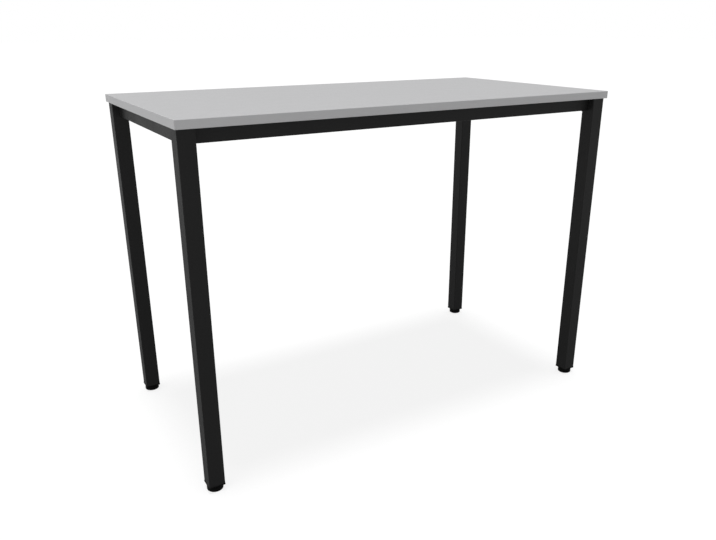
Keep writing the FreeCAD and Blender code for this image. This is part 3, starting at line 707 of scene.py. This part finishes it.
def dress(piece, material, slot, body, *nodes):
    """Give a finished piece its material and its body, and hide the nodes that it stands for. The
    slot is not used.
    """
    piece.data.materials.clear()
    piece.data.materials.append(material)
    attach(piece, body)
    if nodes:
        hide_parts(*nodes)
    return piece


print("helpers for finished pieces are ready")

# %% [markdown]
# ## Places
#
# The frame gives each node's box, and most places follow from it. What a box can't tell, such as a
# tube's wall or a screw's distance from the leg, is named here once.

# %% Measure the frame
# Each corner's name, its signs along X and Y, and its turn from the front left one in degrees.
CORNERS = (
    ("front_left", -1, -1, 0),
    ("front_right", 1, -1, 90),
    ("back_right", 1, 1, 180),
    ("back_left", -1, 1, 270),
)
TUBE_WALL = 2 * MM
TUBE_ROUND = 2.5 * MM
CUT_EASE = 0.3 * MM
BOLT_SPOTS = (28 * MM, 68 * MM)
BOLT_DROP = 23 * MM
SCREW_SPOTS = ((26 * MM, 26 * MM), (70 * MM, 16 * MM), (16 * MM, 70 * MM))

leg_low, leg_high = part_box("leg_front_left")
LEG_X = -(leg_low.x + leg_high.x) / 2
LEG_Y = -(leg_low.y + leg_high.y) / 2
INNER_X = -leg_high.x
INNER_Y = -leg_high.y
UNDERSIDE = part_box("tabletop_board")[0].z


def at_corner(sign_x, sign_y, turn):
    """The matrix that takes a piece made at the front left corner's inner edge to a corner."""
    place = Matrix.Translation((sign_x * INNER_X, sign_y * INNER_Y, UNDERSIDE))
    return place @ Matrix.Rotation(math.radians(turn), 4, "Z")


def on_leg(sign_x, sign_y, _):
    """The matrix that takes a piece made on the upright axis to a leg's axis."""
    return Matrix.Translation((sign_x * LEG_X, sign_y * LEG_Y, 0))


def spread(master, name, place_at, material, slot, body, node):
    """Copy a master to the four corners. {} in a name stands for the corner."""
    for corner, *side in CORNERS:
        piece = copied(master, name.format(corner), place_at(*side))
        dress(piece, material, slot, body.format(corner), node.format(corner))
    bpy.data.objects.remove(master)
    print(name.format("*"), len(piece.data.polygons), "faces each")


print("legs at x", round(LEG_X, 4), "and y", round(LEG_Y, 4))
print("worktop's underside at", round(UNDERSIDE, 4))

# %% [markdown]
# ## The worktop
#
# The board is a block whose edges are broken by a fifth of a millimetre, which leaves the hairline
# that shows where a board meets its band. The holes for the screws are drilled from below, and
# their walls get a second material, because there the chips show.

# %% The board
BOARD_EDGE = 0.2 * MM
PILOT_RADIUS = 2.35 * MM
PILOT_DEPTH = 18 * MM
TAB_SCREW_REACH = 19 * MM


def screw_places():
    """Where the screws enter the worktop, as x and y."""
    for _, sign_x, sign_y, _ in CORNERS:
        for along_x, along_y in SCREW_SPOTS:
            yield sign_x * (INNER_X - along_x), sign_y * (INNER_Y - along_y)
    for sign in (-1, 1):
        yield 0.0, sign * (INNER_Y - TAB_SCREW_REACH)


def make_board():
    """The melamine-faced board with its screw holes."""
    low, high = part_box("tabletop_board")
    board = add_block("worktop_board", low, high)
    round_edges(board, lambda edge: True, BOARD_EDGE, steps=1)
    start, end = low.z - MM, low.z + PILOT_DEPTH
    runs = [((x, y, start), (x, y, end)) for x, y in screw_places()]
    drill(board, PILOT_RADIUS, runs, sides=24)
    smooth(board)
    dress(board, melamine, "top_melamine", "frame", "tabletop_board")
    board.data.materials.append(chipboard)

    def in_a_hole(face):
        middle = face.calc_center_median()
        inside = abs(middle.x) < high.x - MM and abs(middle.y) < high.y - MM
        return inside and abs(face.normal.z) < FACING

    open_mesh(board)
    pick("FACE", in_a_hole)
    board.active_material_index = 1
    bpy.ops.object.material_slot_assign()
    close_mesh()
    return board


board = make_board()
print(board.name, len(board.data.polygons), "faces")

# %% [markdown]
# ## The edge bands
#
# An edge band is a strip of plastic glued to the board's edge and milled to a small radius along
# both outer edges. The long bands cover the ends of the short ones, so their ends are rounded too
# and make the corners of the worktop.

# %% Four bands
BAND_ROUND = 1.5 * MM


def make_band(side, axis, sign, round_ends):
    """One band. Its outer face looks along an axis, and its length runs along the other."""
    node = "edge_band_" + side
    low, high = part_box(node)
    outer = (high if sign > 0 else low)[axis]

    def to_round(edge):
        if lies_at(edge, axis, outer):
            return runs_along(edge, 1 - axis) or round_ends
        return round_ends and runs_along(edge, axis)

    band = add_block("band_" + side, low, high)
    round_edges(band, to_round, BAND_ROUND)
    smooth(band)
    return dress(band, edge_plastic, "edge_abs", "frame", node)


for side, axis, sign, round_ends in (("front", 1, -1, True), ("back", 1, 1, True),
                                     ("left", 0, -1, False), ("right", 0, 1, False)):
    band = make_band(side, axis, sign, round_ends)
    print(band.name, len(band.data.polygons), "faces")

# %% [markdown]
# ## Legs and rails
#
# Square and rectangular tube is rolled from strip, so its corners are round. The way to model it
# is to take a block, drop its two ends, round its four long edges and let Solidify grow the wall
# inwards. That keeps the wall even round the corners, which two nested blocks would not.

# %% Four legs
def make_tube(name, low, high, axis):
    """A tube between two corners that runs along an axis."""
    tube = add_block(name, low, high)
    open_mesh(tube)
    pick("FACE", lambda face: abs(face.normal[axis]) > FACING)
    bpy.ops.mesh.delete(type="ONLY_FACE")
    pick("EDGE", lambda edge: runs_along(edge, axis))
    round_picked(TUBE_ROUND)
    close_mesh()
    apply_modifier(tube, "SOLIDIFY", thickness=TUBE_WALL, offset=-1, use_even_offset=True)
    return tube


def make_leg(corner):
    """One leg tube with its cut ends eased."""
    node = "leg_" + corner
    leg = make_tube("leg_tube_" + corner, *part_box(node), 2)
    ease_edges(leg, CUT_EASE)
    return dress(leg, powder_coat, "frame_black", "frame", node)


for corner, *_ in CORNERS:
    leg = make_leg(corner)
print("legs:", len(leg.data.polygons), "faces each")

# %% Plates on the legs' tops
VENT_RADIUS = 5 * MM


def make_top_plate(corner):
    """The plate that closes a leg, rounded like the tube, with its vent hole."""
    node = "leg_cap_" + corner
    low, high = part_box(node)
    plate = add_block("top_plate_" + corner, low, high)
    round_edges(plate, lambda edge: runs_along(edge, 2), TUBE_ROUND)
    x, y, _ = (low + high) / 2
    drill(plate, VENT_RADIUS, [((x, y, low.z - MM), (x, y, high.z + MM))])
    ease_edges(plate, CUT_EASE)
    return dress(plate, powder_coat, "frame_black", "frame", node)


for corner, *_ in CORNERS:
    plate = make_top_plate(corner)
print("top plates:", len(plate.data.polygons), "faces each")

# %% Four rails
RIVET_NUT_HOLE_RADIUS = 4.6 * MM


def make_rail(side, axis, sign):
    """One rail along an axis, drilled on its inner face for the rivet nuts."""
    node = "rail_" + side
    low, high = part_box(node)
    across = 1 - axis
    inner_face = (low if sign > 0 else high)[across]
    rail = make_tube("rail_tube_" + side, low, high, axis)
    runs = []
    for end in (-1, 1):
        for spot in BOLT_SPOTS:
            start = Vector((0, 0, UNDERSIDE - BOLT_DROP))
            start[axis] = end * ((INNER_X, INNER_Y)[axis] - spot)
            start[across] = inner_face - sign * MM
            finish = start.copy()
            finish[across] = inner_face + sign * 2 * TUBE_WALL
            runs.append((start, finish))
    drill(rail, RIVET_NUT_HOLE_RADIUS, runs)
    ease_edges(rail, CUT_EASE)
    return dress(rail, powder_coat, "frame_black", "frame", node)


for side, axis, sign in (("front", 0, -1), ("back", 0, 1), ("left", 1, -1), ("right", 1, 1)):
    rail = make_rail(side, axis, sign)
    print(rail.name, len(rail.data.polygons), "faces")

# %% [markdown]
# ## Welds
#
# The short rails are welded between their legs. A bead is a row of overlapping drops, so it is a
# rod cut into rings of which every other one is drawn in. It lies in the corner between the rail
# and the leg, upright beside the rail and level under it.

# %% Weld beads
BEAD_RADIUS = 2.2 * MM
BEAD_SIDES = 12
BEAD_STEP = 0.75 * MM
BEAD_WAIST = 0.80
BEAD_END = 0.6
BEAD_SMOOTH_UP_TO = 70


def make_bead(length):
    """A weld bead that stands on the origin."""
    bead = add_post("bead", BEAD_RADIUS, 0, length, BEAD_SIDES)
    cuts = int(length / BEAD_STEP)
    step = length / (cuts + 1)
    open_mesh(bead)
    pick("EDGE", lambda edge: runs_along(edge, 2))
    bpy.ops.mesh.subdivide(number_cuts=cuts)
    pick("VERT", lambda corner: round(corner.co.z / step) % 2 == 0)
    draw_in(BEAD_WAIST)
    pick("VERT", lambda corner: corner.co.z < step / 2 or corner.co.z > length - step / 2)
    draw_in(BEAD_END)
    close_mesh()
    smooth(bead, BEAD_SMOOTH_UP_TO)
    return bead


def make_welds():
    """The two beads at the end of a short rail, in the front left corner's own frame."""
    low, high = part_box("rail_left")
    depth = high.x - low.x
    bottom = low.z - UNDERSIDE
    upright = make_bead(high.z - low.z - 2 * TUBE_ROUND)
    level = make_bead(depth - 2 * TUBE_ROUND)
    beside = Matrix.Translation((-depth, 0, bottom + TUBE_ROUND))
    below = Matrix.Translation((-depth + TUBE_ROUND, 0, bottom))
    below @= Matrix.Rotation(math.pi / 2, 4, "Y")
    welds = joined("welds", [copied(upright, "upright", beside), copied(level, "level", below)])
    for used in (upright, level):
        bpy.data.objects.remove(used)
    return welds


welds = make_welds()
for corner, sign_x, sign_y, _ in CORNERS:
    mirror = Matrix.Diagonal((-sign_x, -sign_y, 1, 1))
    weld = copied(welds, "weld_" + corner, at_corner(sign_x, sign_y, 0) @ mirror)
    open_mesh(weld)
    face_outwards()
    close_mesh()
    dress(weld, powder_coat, "frame_black", "frame")
print("welds:", len(weld.data.polygons), "faces each")
bpy.data.objects.remove(welds)

# %% [markdown]
# ## Corner brackets
#
# Each corner of the frame holds a folded bracket: a web under the worktop and two flanges against
# the rails, with a notch where the two folds would meet. Folded sheet is best modelled as it is
# made. A flat grid gives the blank, two edges are drawn down as flanges, the folds are rounded,
# and Solidify gives the sheet its thickness.

# %% Helpers for folded sheet
SHEET = 3 * MM
FOLD_OUTSIDE = 5 * MM
BOLT_HOLE_RADIUS = 3.3 * MM
SCREW_HOLE_RADIUS = 2.55 * MM
SHEET_EASE = 0.4 * MM


def thicken(piece):
    """Turn an open sheet's faces outwards, seen from above, and give it its thickness inwards."""
    open_mesh(piece)
    face_outwards()
    form = bmesh.from_edit_mesh(piece.data)
    if sum(face.normal.z for face in form.faces if abs(face.normal.z) > FACING) < 0:
        bpy.ops.mesh.flip_normals()
    close_mesh()
    apply_modifier(piece, "SOLIDIFY", thickness=SHEET, offset=-1, use_even_offset=True)


def round_folds(axis, level):
    """In edit mode, round the folds that run at the top of one upright plane."""
    pick("EDGE", lambda edge: lies_at(edge, axis, level) and lies_at(edge, 2, 0))
    round_picked(FOLD_OUTSIDE)


print("helpers for folded sheet are ready")

# %% The folded bracket
GRID_LINES = (1 * MM, 13 * MM, 23 * MM, 91 * MM)
NEAR_LINE = 0.4
FLANGE_DEPTH = 37 * MM
FLANGE_ROUND = 5 * MM
TOE_ROUND = 2.5 * MM


def lay_blank():
    """The flat blank: a grid whose lines are moved to their places, without its inner corner."""
    heel, _, toe, end = GRID_LINES
    cells = len(GRID_LINES) - 1
    bpy.ops.object.select_all(action="DESELECT")
    bpy.ops.mesh.primitive_grid_add(x_subdivisions=cells, y_subdivisions=cells, size=cells,
                                    location=(cells / 2, cells / 2, 0))
    blank = settle(bpy.context.object, "bracket")
    open_mesh(blank)
    for axis in (0, 1):
        for number, line in enumerate(GRID_LINES):
            pick("VERT", lambda corner: abs(corner.co[axis] - number) < NEAR_LINE)
            step = Vector((0, 0, 0))
            step[axis] = line - number
            shift(*step)
    pick("VERT", lambda corner: corner.co.x > toe + MM and corner.co.y > toe + MM)
    shift((toe - end) / 2, (toe - end) / 2)
    pick("VERT", lambda corner: corner.co.x < heel + MM and corner.co.y < heel + MM)
    bpy.ops.mesh.delete(type="VERT")
    return blank


def make_bracket():
    """The bracket of the front left corner, with the leg's inner edge as its origin."""
    heel, notch, toe, end = GRID_LINES
    bracket = lay_blank()
    for axis in (0, 1):
        pick("EDGE", lambda edge: lies_at(edge, axis, heel))
        extrude(z=-FLANGE_DEPTH)
    pick("VERT", lambda corner: corner.co.z < -MM and any(
        abs(corner.co[axis] - line) < TOUCH for axis in (0, 1) for line in (notch, end)))
    round_picked(FLANGE_ROUND, affect="VERTICES")
    pick("VERT", lambda corner: corner.co.z > -MM and max(corner.co.x, corner.co.y) > end - MM
         and min(corner.co.x, corner.co.y) > toe - MM)
    round_picked(TOE_ROUND, steps=4, affect="VERTICES")
    for axis in (0, 1):
        round_folds(axis, heel)
    close_mesh()
    thicken(bracket)
    runs = [((x, y, -2 * SHEET), (x, y, SHEET)) for x, y in SCREW_SPOTS]
    drill(bracket, SCREW_HOLE_RADIUS, runs)
    for spot in BOLT_SPOTS:
        runs = [((spot, 0, -BOLT_DROP), (spot, 2 * SHEET, -BOLT_DROP)),
                ((0, spot, -BOLT_DROP), (2 * SHEET, spot, -BOLT_DROP))]
        drill(bracket, BOLT_HOLE_RADIUS, runs)
    ease_edges(bracket, SHEET_EASE)
    return bracket


spread(make_bracket(), "bracket_{}", at_corner, powder_coat, "frame_black", "frame",
       "corner_bracket_{}")

# %% [markdown]
# ## Tabs
#
# Halfway along each long rail a folded tab holds the worktop down. It is made like the bracket,
# from a single plane, and a bead of weld down each side holds it to the rail.

# %% Two tabs with their welds
TAB_WIDTH = 40 * MM
TAB_REACH = 30 * MM
TAB_DEPTH = 33 * MM
TAB_ROUND = 3 * MM


def make_tab():
    """The front tab, with its origin over the rail's inner face, halfway along."""
    bpy.ops.object.select_all(action="DESELECT")
    bpy.ops.mesh.primitive_plane_add(size=1, location=(0, TAB_REACH / 2, 0))
    bpy.context.object.scale = (TAB_WIDTH, TAB_REACH, 1)
    tab = settle(bpy.context.object, "tab")
    open_mesh(tab)
    pick("EDGE", lambda edge: lies_at(edge, 1, 0))
    extrude(z=-TAB_DEPTH)
    pick("VERT", lambda corner: corner.co.z < -MM or corner.co.y > MM)
    round_picked(TAB_ROUND, steps=4, affect="VERTICES")
    round_folds(1, 0)
    close_mesh()
    thicken(tab)
    run = ((0, TAB_SCREW_REACH, -2 * SHEET), (0, TAB_SCREW_REACH, 0))
    drill(tab, SCREW_HOLE_RADIUS, [run])
    ease_edges(tab, SHEET_EASE)
    return tab


tab = make_tab()
bead = make_bead(TAB_DEPTH - FOLD_OUTSIDE - TAB_ROUND)
for side, sign, turn in (("front", -1, 0), ("back", 1, 180)):
    place = at_corner(0, sign, turn)
    piece = copied(tab, "tab_" + side, place)
    dress(piece, powder_coat, "frame_black", "frame", "centre_tab_" + side)
    beads = [copied(bead, "bead_copy", place @ Matrix.Translation((x, 0, TAB_ROUND - TAB_DEPTH)))
             for x in (-TAB_WIDTH / 2, TAB_WIDTH / 2)]
    dress(joined("tab_weld_" + side, beads), powder_coat, "frame_black", "frame")
print("tabs:", len(piece.data.polygons), "faces each")
for used in (tab, bead):
    bpy.data.objects.remove(used)

# %% [markdown]
# ## Bolts
#
# Button head bolts hold the brackets to the rails. The head is a low dome with a hexagon socket.
# A cylinder whose upper rim is rounded by most of the head's height gives the dome, and a six
# sided cylinder cuts the socket.

# %% Four bolts to a corner
BEARING = 4 * MM
BOLT_RADIUS = 3 * MM
BOLT_LENGTH = 12 * MM
BOLT_HEAD_RADIUS = 5.25 * MM
BOLT_HEAD_HEIGHT = 3.3 * MM
BOLT_CROWN = 2.3 * MM
BOLT_SOCKET_FLATS = 4 * MM
BOLT_SOCKET_DEPTH = 2 * MM
OVERLAP = 0.2 * MM


def make_bolt():
    """A button head bolt: bearing face on z = 0, head up, shank down."""
    bolt = add_post("bolt", BOLT_HEAD_RADIUS, 0, BOLT_HEAD_HEIGHT, sides=48)
    round_edges(bolt, lambda edge: lies_at(edge, 2, BOLT_HEAD_HEIGHT), BOLT_CROWN, steps=6)
    combine(bolt, "DIFFERENCE", [add_hexagon(
        "socket", BOLT_SOCKET_FLATS, BOLT_HEAD_HEIGHT - BOLT_SOCKET_DEPTH,
        BOLT_HEAD_HEIGHT + MM)])
    combine(bolt, "UNION", [add_post("shank", BOLT_RADIUS, -BOLT_LENGTH, OVERLAP)])
    ease_edges(bolt, width=0.2 * MM)
    return bolt


def make_bolt_set():
    """The four bolts of the front left corner."""
    bolt = make_bolt()
    along_y = Matrix.Rotation(-math.pi / 2, 4, "X")
    along_x = Matrix.Rotation(math.pi / 2, 4, "Y")
    bolts = []
    for spot in BOLT_SPOTS:
        for x, y, turn in ((spot, BEARING, along_y), (BEARING, spot, along_x)):
            place = Matrix.Translation((x, y, -BOLT_DROP)) @ turn
            bolts.append(copied(bolt, "bolt_copy", place))
    bpy.data.objects.remove(bolt)
    return joined("bolts", bolts)


spread(make_bolt_set(), "bolts_{}", at_corner, zinc, "steel_zinc", "frame", "bracket_bolts_{}")

# %% [markdown]
# ## Screws
#
# Pan head chipboard screws go up through the brackets and the tabs into the worktop. Their cross
# recess narrows with depth, as the driver's tip does, so its cutter is two bars with narrowed
# ends.

# %% Screws
SCREW_RADIUS = 2.25 * MM
SCREW_LENGTH = 20 * MM
SCREW_TIP = 4 * MM
TIP_END = 0.1
SCREW_HEAD_RADIUS = 4.5 * MM
SCREW_HEAD_HEIGHT = 2.8 * MM
SCREW_CROWN = 1.4 * MM
RECESS_LENGTH = 5 * MM
RECESS_WIDTH = 1.2 * MM
RECESS_DEPTH = 1.6 * MM
RECESS_END = 0.6


def add_centred(name, x_size, y_size, low, high):
    """A block on the upright axis, between two levels."""
    return add_block(name, (-x_size / 2, -y_size / 2, low), (x_size / 2, y_size / 2, high))


def make_recess_bar(x_size, y_size):
    """One bar of the cross recess, narrowed at its upper end."""
    top = RECESS_DEPTH - SCREW_HEAD_HEIGHT
    bar = add_centred("recess", x_size, y_size, -SCREW_HEAD_HEIGHT - MM, top)
    open_mesh(bar)
    pick("VERT", lambda corner: abs(corner.co.z - top) < TOUCH)
    draw_in(RECESS_END)
    close_mesh()
    return bar


def make_screw():
    """A pan head screw: bearing face on z = 0, head down, shank up."""
    screw = add_post("screw", SCREW_HEAD_RADIUS, -SCREW_HEAD_HEIGHT, 0, sides=40)
    round_edges(screw, lambda edge: lies_at(edge, 2, -SCREW_HEAD_HEIGHT), SCREW_CROWN)
    shank = add_post("shank", SCREW_RADIUS, -OVERLAP, SCREW_LENGTH - SCREW_TIP, sides=24)
    open_mesh(shank)
    pick("FACE", lambda face: face.normal.z > FACING)
    extrude(z=SCREW_TIP)
    draw_in(TIP_END)
    close_mesh()
    combine(screw, "UNION", [shank])
    combine(screw, "DIFFERENCE", [make_recess_bar(RECESS_LENGTH, RECESS_WIDTH),
                                  make_recess_bar(RECESS_WIDTH, RECESS_LENGTH)])
    ease_edges(screw, width=0.12 * MM)
    return screw


screw = make_screw()
screws = [copied(screw, "screw_copy", Matrix.Translation((x, y, -SHEET))) for x, y in SCREW_SPOTS]
spread(joined("screws", screws), "screws_{}", at_corner, zinc, "steel_zinc", "frame",
       "top_screws_{}")
for side, sign in (("front", -1), ("back", 1)):
    place = Matrix.Translation((0, sign * (INNER_Y - TAB_SCREW_REACH), UNDERSIDE - SHEET))
    piece = copied(screw, "screw_" + side, place)
    dress(piece, zinc, "steel_zinc", "frame", "centre_screw_" + side)
    print(piece.name, len(piece.data.polygons), "faces")
bpy.data.objects.remove(screw)

# %% [markdown]
# ## Inserts
#
# A plastic insert closes the lower end of each leg. Its flange stands out one millimetre all round
# and shows as a thin black line under the tube. Inside, a socket grips the tube and a boss holds
# the nut for the foot's stud. Each part is a primitive of its own, and booleans weld them into one
# moulding.

# %% Four inserts
INSERT_SIDE = 52 * MM
INSERT_FLANGE = 3 * MM
INSERT_ROUND = 3.5 * MM
INSERT_HEIGHT = 28 * MM
SOCKET_SIDE = 45.6 * MM
SOCKET_WALL = 2.5 * MM
BOSS_RADIUS = 12 * MM
BOSS_TOP = 23 * MM
WEB_TOP = 13 * MM
WEB_WIDTH = 2 * MM
NUT_POCKET_FLATS = 16.4 * MM
NUT_SEAT = 15 * MM
PASSAGE_RADIUS = 5.3 * MM
SUNK = 0.5 * MM
FLANGE_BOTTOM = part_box("leg_insert_front_left")[0].z


def make_insert():
    """A leg insert, z = 0 under its flange."""
    insert = add_centred("insert", INSERT_SIDE, INSERT_SIDE, 0, INSERT_FLANGE)
    round_edges(insert, lambda edge: runs_along(edge, 2), INSERT_ROUND)
    base = INSERT_FLANGE - SUNK
    hollow = SOCKET_SIDE - 2 * SOCKET_WALL
    web = hollow + MM
    combine(insert, "UNION", [
        add_centred("socket", SOCKET_SIDE, SOCKET_SIDE, base, INSERT_HEIGHT)])
    combine(insert, "DIFFERENCE", [
        add_centred("hollow", hollow, hollow, INSERT_FLANGE, INSERT_HEIGHT + MM)])
    combine(insert, "UNION", [
        add_centred("web_x", web, WEB_WIDTH, base, WEB_TOP),
        add_centred("web_y", WEB_WIDTH, web, base, WEB_TOP),
        add_post("boss", BOSS_RADIUS, base, BOSS_TOP, sides=48)])
    combine(insert, "DIFFERENCE", [
        add_post("passage", PASSAGE_RADIUS, -MM, BOSS_TOP + MM),
        add_hexagon("pocket", NUT_POCKET_FLATS, NUT_SEAT, BOSS_TOP + MM)])
    ease_edges(insert, width=0.4 * MM)
    return insert


insert = make_insert()
insert.location.z = FLANGE_BOTTOM
spread(settle(insert, "insert"), "insert_{}", on_leg, plastic, "plastic_black", "frame",
       "leg_insert_{}")

# %% [markdown]
# ## Feet
#
# The foot is a moulded disc that is turned by hand, so its rim has twelve finger flutes and a
# tapered shoulder. One cylinder carries the form: a bisected ring marks where the shoulder starts,
# the top is drawn in, and the rims are rounded. The upper face is dished round a hub. Below, it is
# open for the stud's head and the rubber disc.

# %% Four feet
FOOT_RADIUS = 25 * MM
FOOT_BOTTOM = 0.8 * MM
FOOT_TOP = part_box("foot_base_front_left")[1].z
SHOULDER = 4 * MM
SHOULDER_END = 46 / 50
RIM_ROUND = 2.5 * MM
DISH_STEPS = ((4 * MM, 0), (1.2 * MM, -0.8 * MM), (7.5 * MM, 0), (1 * MM, 0.8 * MM))
FLUTES = 12
FLUTE_RADIUS = 3 * MM
FLUTE_DEPTH = 1 * MM
RECESS_RADIUS = 21.3 * MM
RECESS_TOP = 2.3 * MM
HEAD_TOP = 7.3 * MM
HEAD_FLATS = 14 * MM
STUD_RADIUS = 5 * MM
STUD_PLAY = 0.1 * MM


def shape_foot():
    """The foot's outer form, standing over the origin: shoulder, rims and dished top."""
    foot = add_post("foot", FOOT_RADIUS, FOOT_BOTTOM, FOOT_TOP, sides=96)
    shoulder = FOOT_TOP - SHOULDER
    open_mesh(foot)
    pick_all()
    bpy.ops.mesh.bisect(plane_co=(0, 0, shoulder), plane_no=(0, 0, 1))
    pick("VERT", lambda corner: abs(corner.co.z - FOOT_TOP) < TOUCH)
    draw_in(SHOULDER_END)
    for level, radius in ((FOOT_BOTTOM, RIM_ROUND), (shoulder, RIM_ROUND), (FOOT_TOP, MM)):
        pick("EDGE", lambda edge: lies_at(edge, 2, level))
        round_picked(radius)
    pick("FACE", lambda face: lies_at(face, 2, FOOT_TOP))
    inset_in_turn(DISH_STEPS)
    close_mesh()
    return foot


def make_foot():
    """The plastic foot with its flutes, its recess and the hole for the stud."""
    foot = shape_foot()
    ring = FOOT_RADIUS + FLUTE_RADIUS - FLUTE_DEPTH
    cutters = []
    for number in range(FLUTES):
        turn = 2 * math.pi * number / FLUTES
        x, y = ring * math.cos(turn), ring * math.sin(turn)
        cutters.append(add_rod("flute", FLUTE_RADIUS, (x, y, 0), (x, y, FOOT_TOP + MM),
                               sides=24))
    cutters += [
        add_post("recess", RECESS_RADIUS, -MM, RECESS_TOP, sides=96),
        add_hexagon("pocket", HEAD_FLATS + 2 * STUD_PLAY, -MM, HEAD_TOP),
        add_post("hole", STUD_RADIUS + STUD_PLAY, -MM, FOOT_TOP + MM, sides=48)]
    combine(foot, "DIFFERENCE", cutters)
    ease_edges(foot, width=0.25 * MM)
    return foot


spread(make_foot(), "foot_{}_disc", on_leg, plastic, "plastic_black", "foot_{}", "foot_base_{}")

# %% [markdown]
# ## Threaded studs
#
# When a foot is turned out, its thread comes into view, so it is a true helix. One pitch of the
# profile is drawn by extruding a single point, the Screw modifier winds it, and a bisect at each
# end closes it.

# %% Four studs
PITCH = 1.5 * MM
THREAD_ROOT = 4.3 * MM
THREAD_CREST = 4.97 * MM
# Shares of one pitch: a crest, a flank on each side and a root.
CREST_FLAT, FLANK, ROOT_FLAT = 0.12, 0.36, 0.16
THREAD_BOTTOM = FOOT_TOP + 2 * MM
PLAIN_TOP = FOOT_TOP + 3 * MM
STUD_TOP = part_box("foot_stud_front_left")[1].z
STUD_SIDES = 72
STUD_CHAMFER = 1 * MM
TURN_STEPS = 36
SPARE_TURNS = 2
THREAD_SPARE = 0.67 * MM
CUT_TOUCH = 0.001 * MM


def make_thread():
    """A threaded rod, a little longer at both ends than the stud's thread."""
    bpy.ops.object.select_all(action="DESELECT")
    bpy.ops.mesh.primitive_plane_add(size=MM)
    thread = settle(bpy.context.object, "thread")
    open_mesh(thread, "VERT")
    pick_all()
    bpy.ops.mesh.merge(type="CENTER")
    shift(THREAD_CREST, 0, THREAD_BOTTOM - SPARE_TURNS * PITCH)
    slope = THREAD_CREST - THREAD_ROOT
    for inwards, rise in ((0, CREST_FLAT), (slope, FLANK), (0, ROOT_FLAT), (-slope, FLANK)):
        extrude(-inwards, 0, rise * PITCH)
    close_mesh()
    turns = round((STUD_TOP - THREAD_BOTTOM) / PITCH) + 2 * SPARE_TURNS
    apply_modifier(thread, "SCREW", axis="Z", angle=2 * math.pi, screw_offset=PITCH,
                   iterations=turns, steps=TURN_STEPS, render_steps=TURN_STEPS,
                   use_smooth_shade=False)
    open_mesh(thread)
    pick_all()
    bpy.ops.mesh.remove_doubles(threshold=TOUCH)
    for level, side in ((THREAD_BOTTOM - THREAD_SPARE, "clear_inner"),
                        (STUD_TOP + THREAD_SPARE, "clear_outer")):
        pick_all()
        bpy.ops.mesh.bisect(plane_co=(0, 0, level), plane_no=(0, 0, 1), use_fill=True,
                            threshold=CUT_TOUCH, **{side: True})
    face_outwards()
    close_mesh()
    return thread


def make_stud():
    """The stud of a foot: hexagon head, plain part and thread."""
    thread = make_thread()
    envelope = add_post("envelope", STUD_RADIUS, THREAD_BOTTOM, STUD_TOP, STUD_SIDES)
    round_edges(envelope, lambda edge: lies_at(edge, 2, STUD_TOP), STUD_CHAMFER, steps=1)
    combine(thread, "INTERSECT", [envelope])
    stud = add_hexagon("stud", HEAD_FLATS, RECESS_TOP, HEAD_TOP)
    plain = add_post("plain", STUD_RADIUS, HEAD_TOP - OVERLAP, PLAIN_TOP, STUD_SIDES)
    combine(stud, "UNION", [plain, thread])
    smooth(stud)
    return stud


spread(make_stud(), "stud_{}", on_leg, zinc, "steel_zinc", "foot_{}", "foot_stud_{}")

# %% [markdown]
# ## Rubber discs
#
# The disc under each foot stays still on the floor while the foot turns on it. Rings moulded into
# its underside keep it from slipping. Each ring is four insets: a land, a slope in, a floor and a
# slope back.

# %% Four discs
PAD_RADIUS = 21 * MM
PAD_TOP = 2 * MM
PAD_RINGS = 4
RING_STEPS = ((1.8 * MM, 0), (0.4 * MM, -0.6 * MM), (1 * MM, 0), (0.4 * MM, 0.6 * MM))


def make_pad():
    """A rubber disc with rings in its underside."""
    pad = add_post("pad", PAD_RADIUS, 0, PAD_TOP, sides=96)
    open_mesh(pad)
    pick("FACE", lambda face: face.normal.z < -FACING)
    inset_in_turn(PAD_RINGS * RING_STEPS)
    close_mesh()
    ease_edges(pad, width=0.15 * MM)
    return pad


spread(make_pad(), "disc_{}", on_leg, rubber, "rubber_black", "glide_{}", "foot_pad_{}")

# %% [markdown]
# ## Nuts
#
# The rivet nuts and the nuts inside the legs are right as they come. They only need their finish,
# so their material slots get the zinc.

# %% Give the nuts their finish
for name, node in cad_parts.items():
    if name.startswith(("rivet_nuts_", "insert_nut_")):
        for slot in node.material_slots:
            slot.material = zinc
        print(name, len(node.material_slots), "slot")
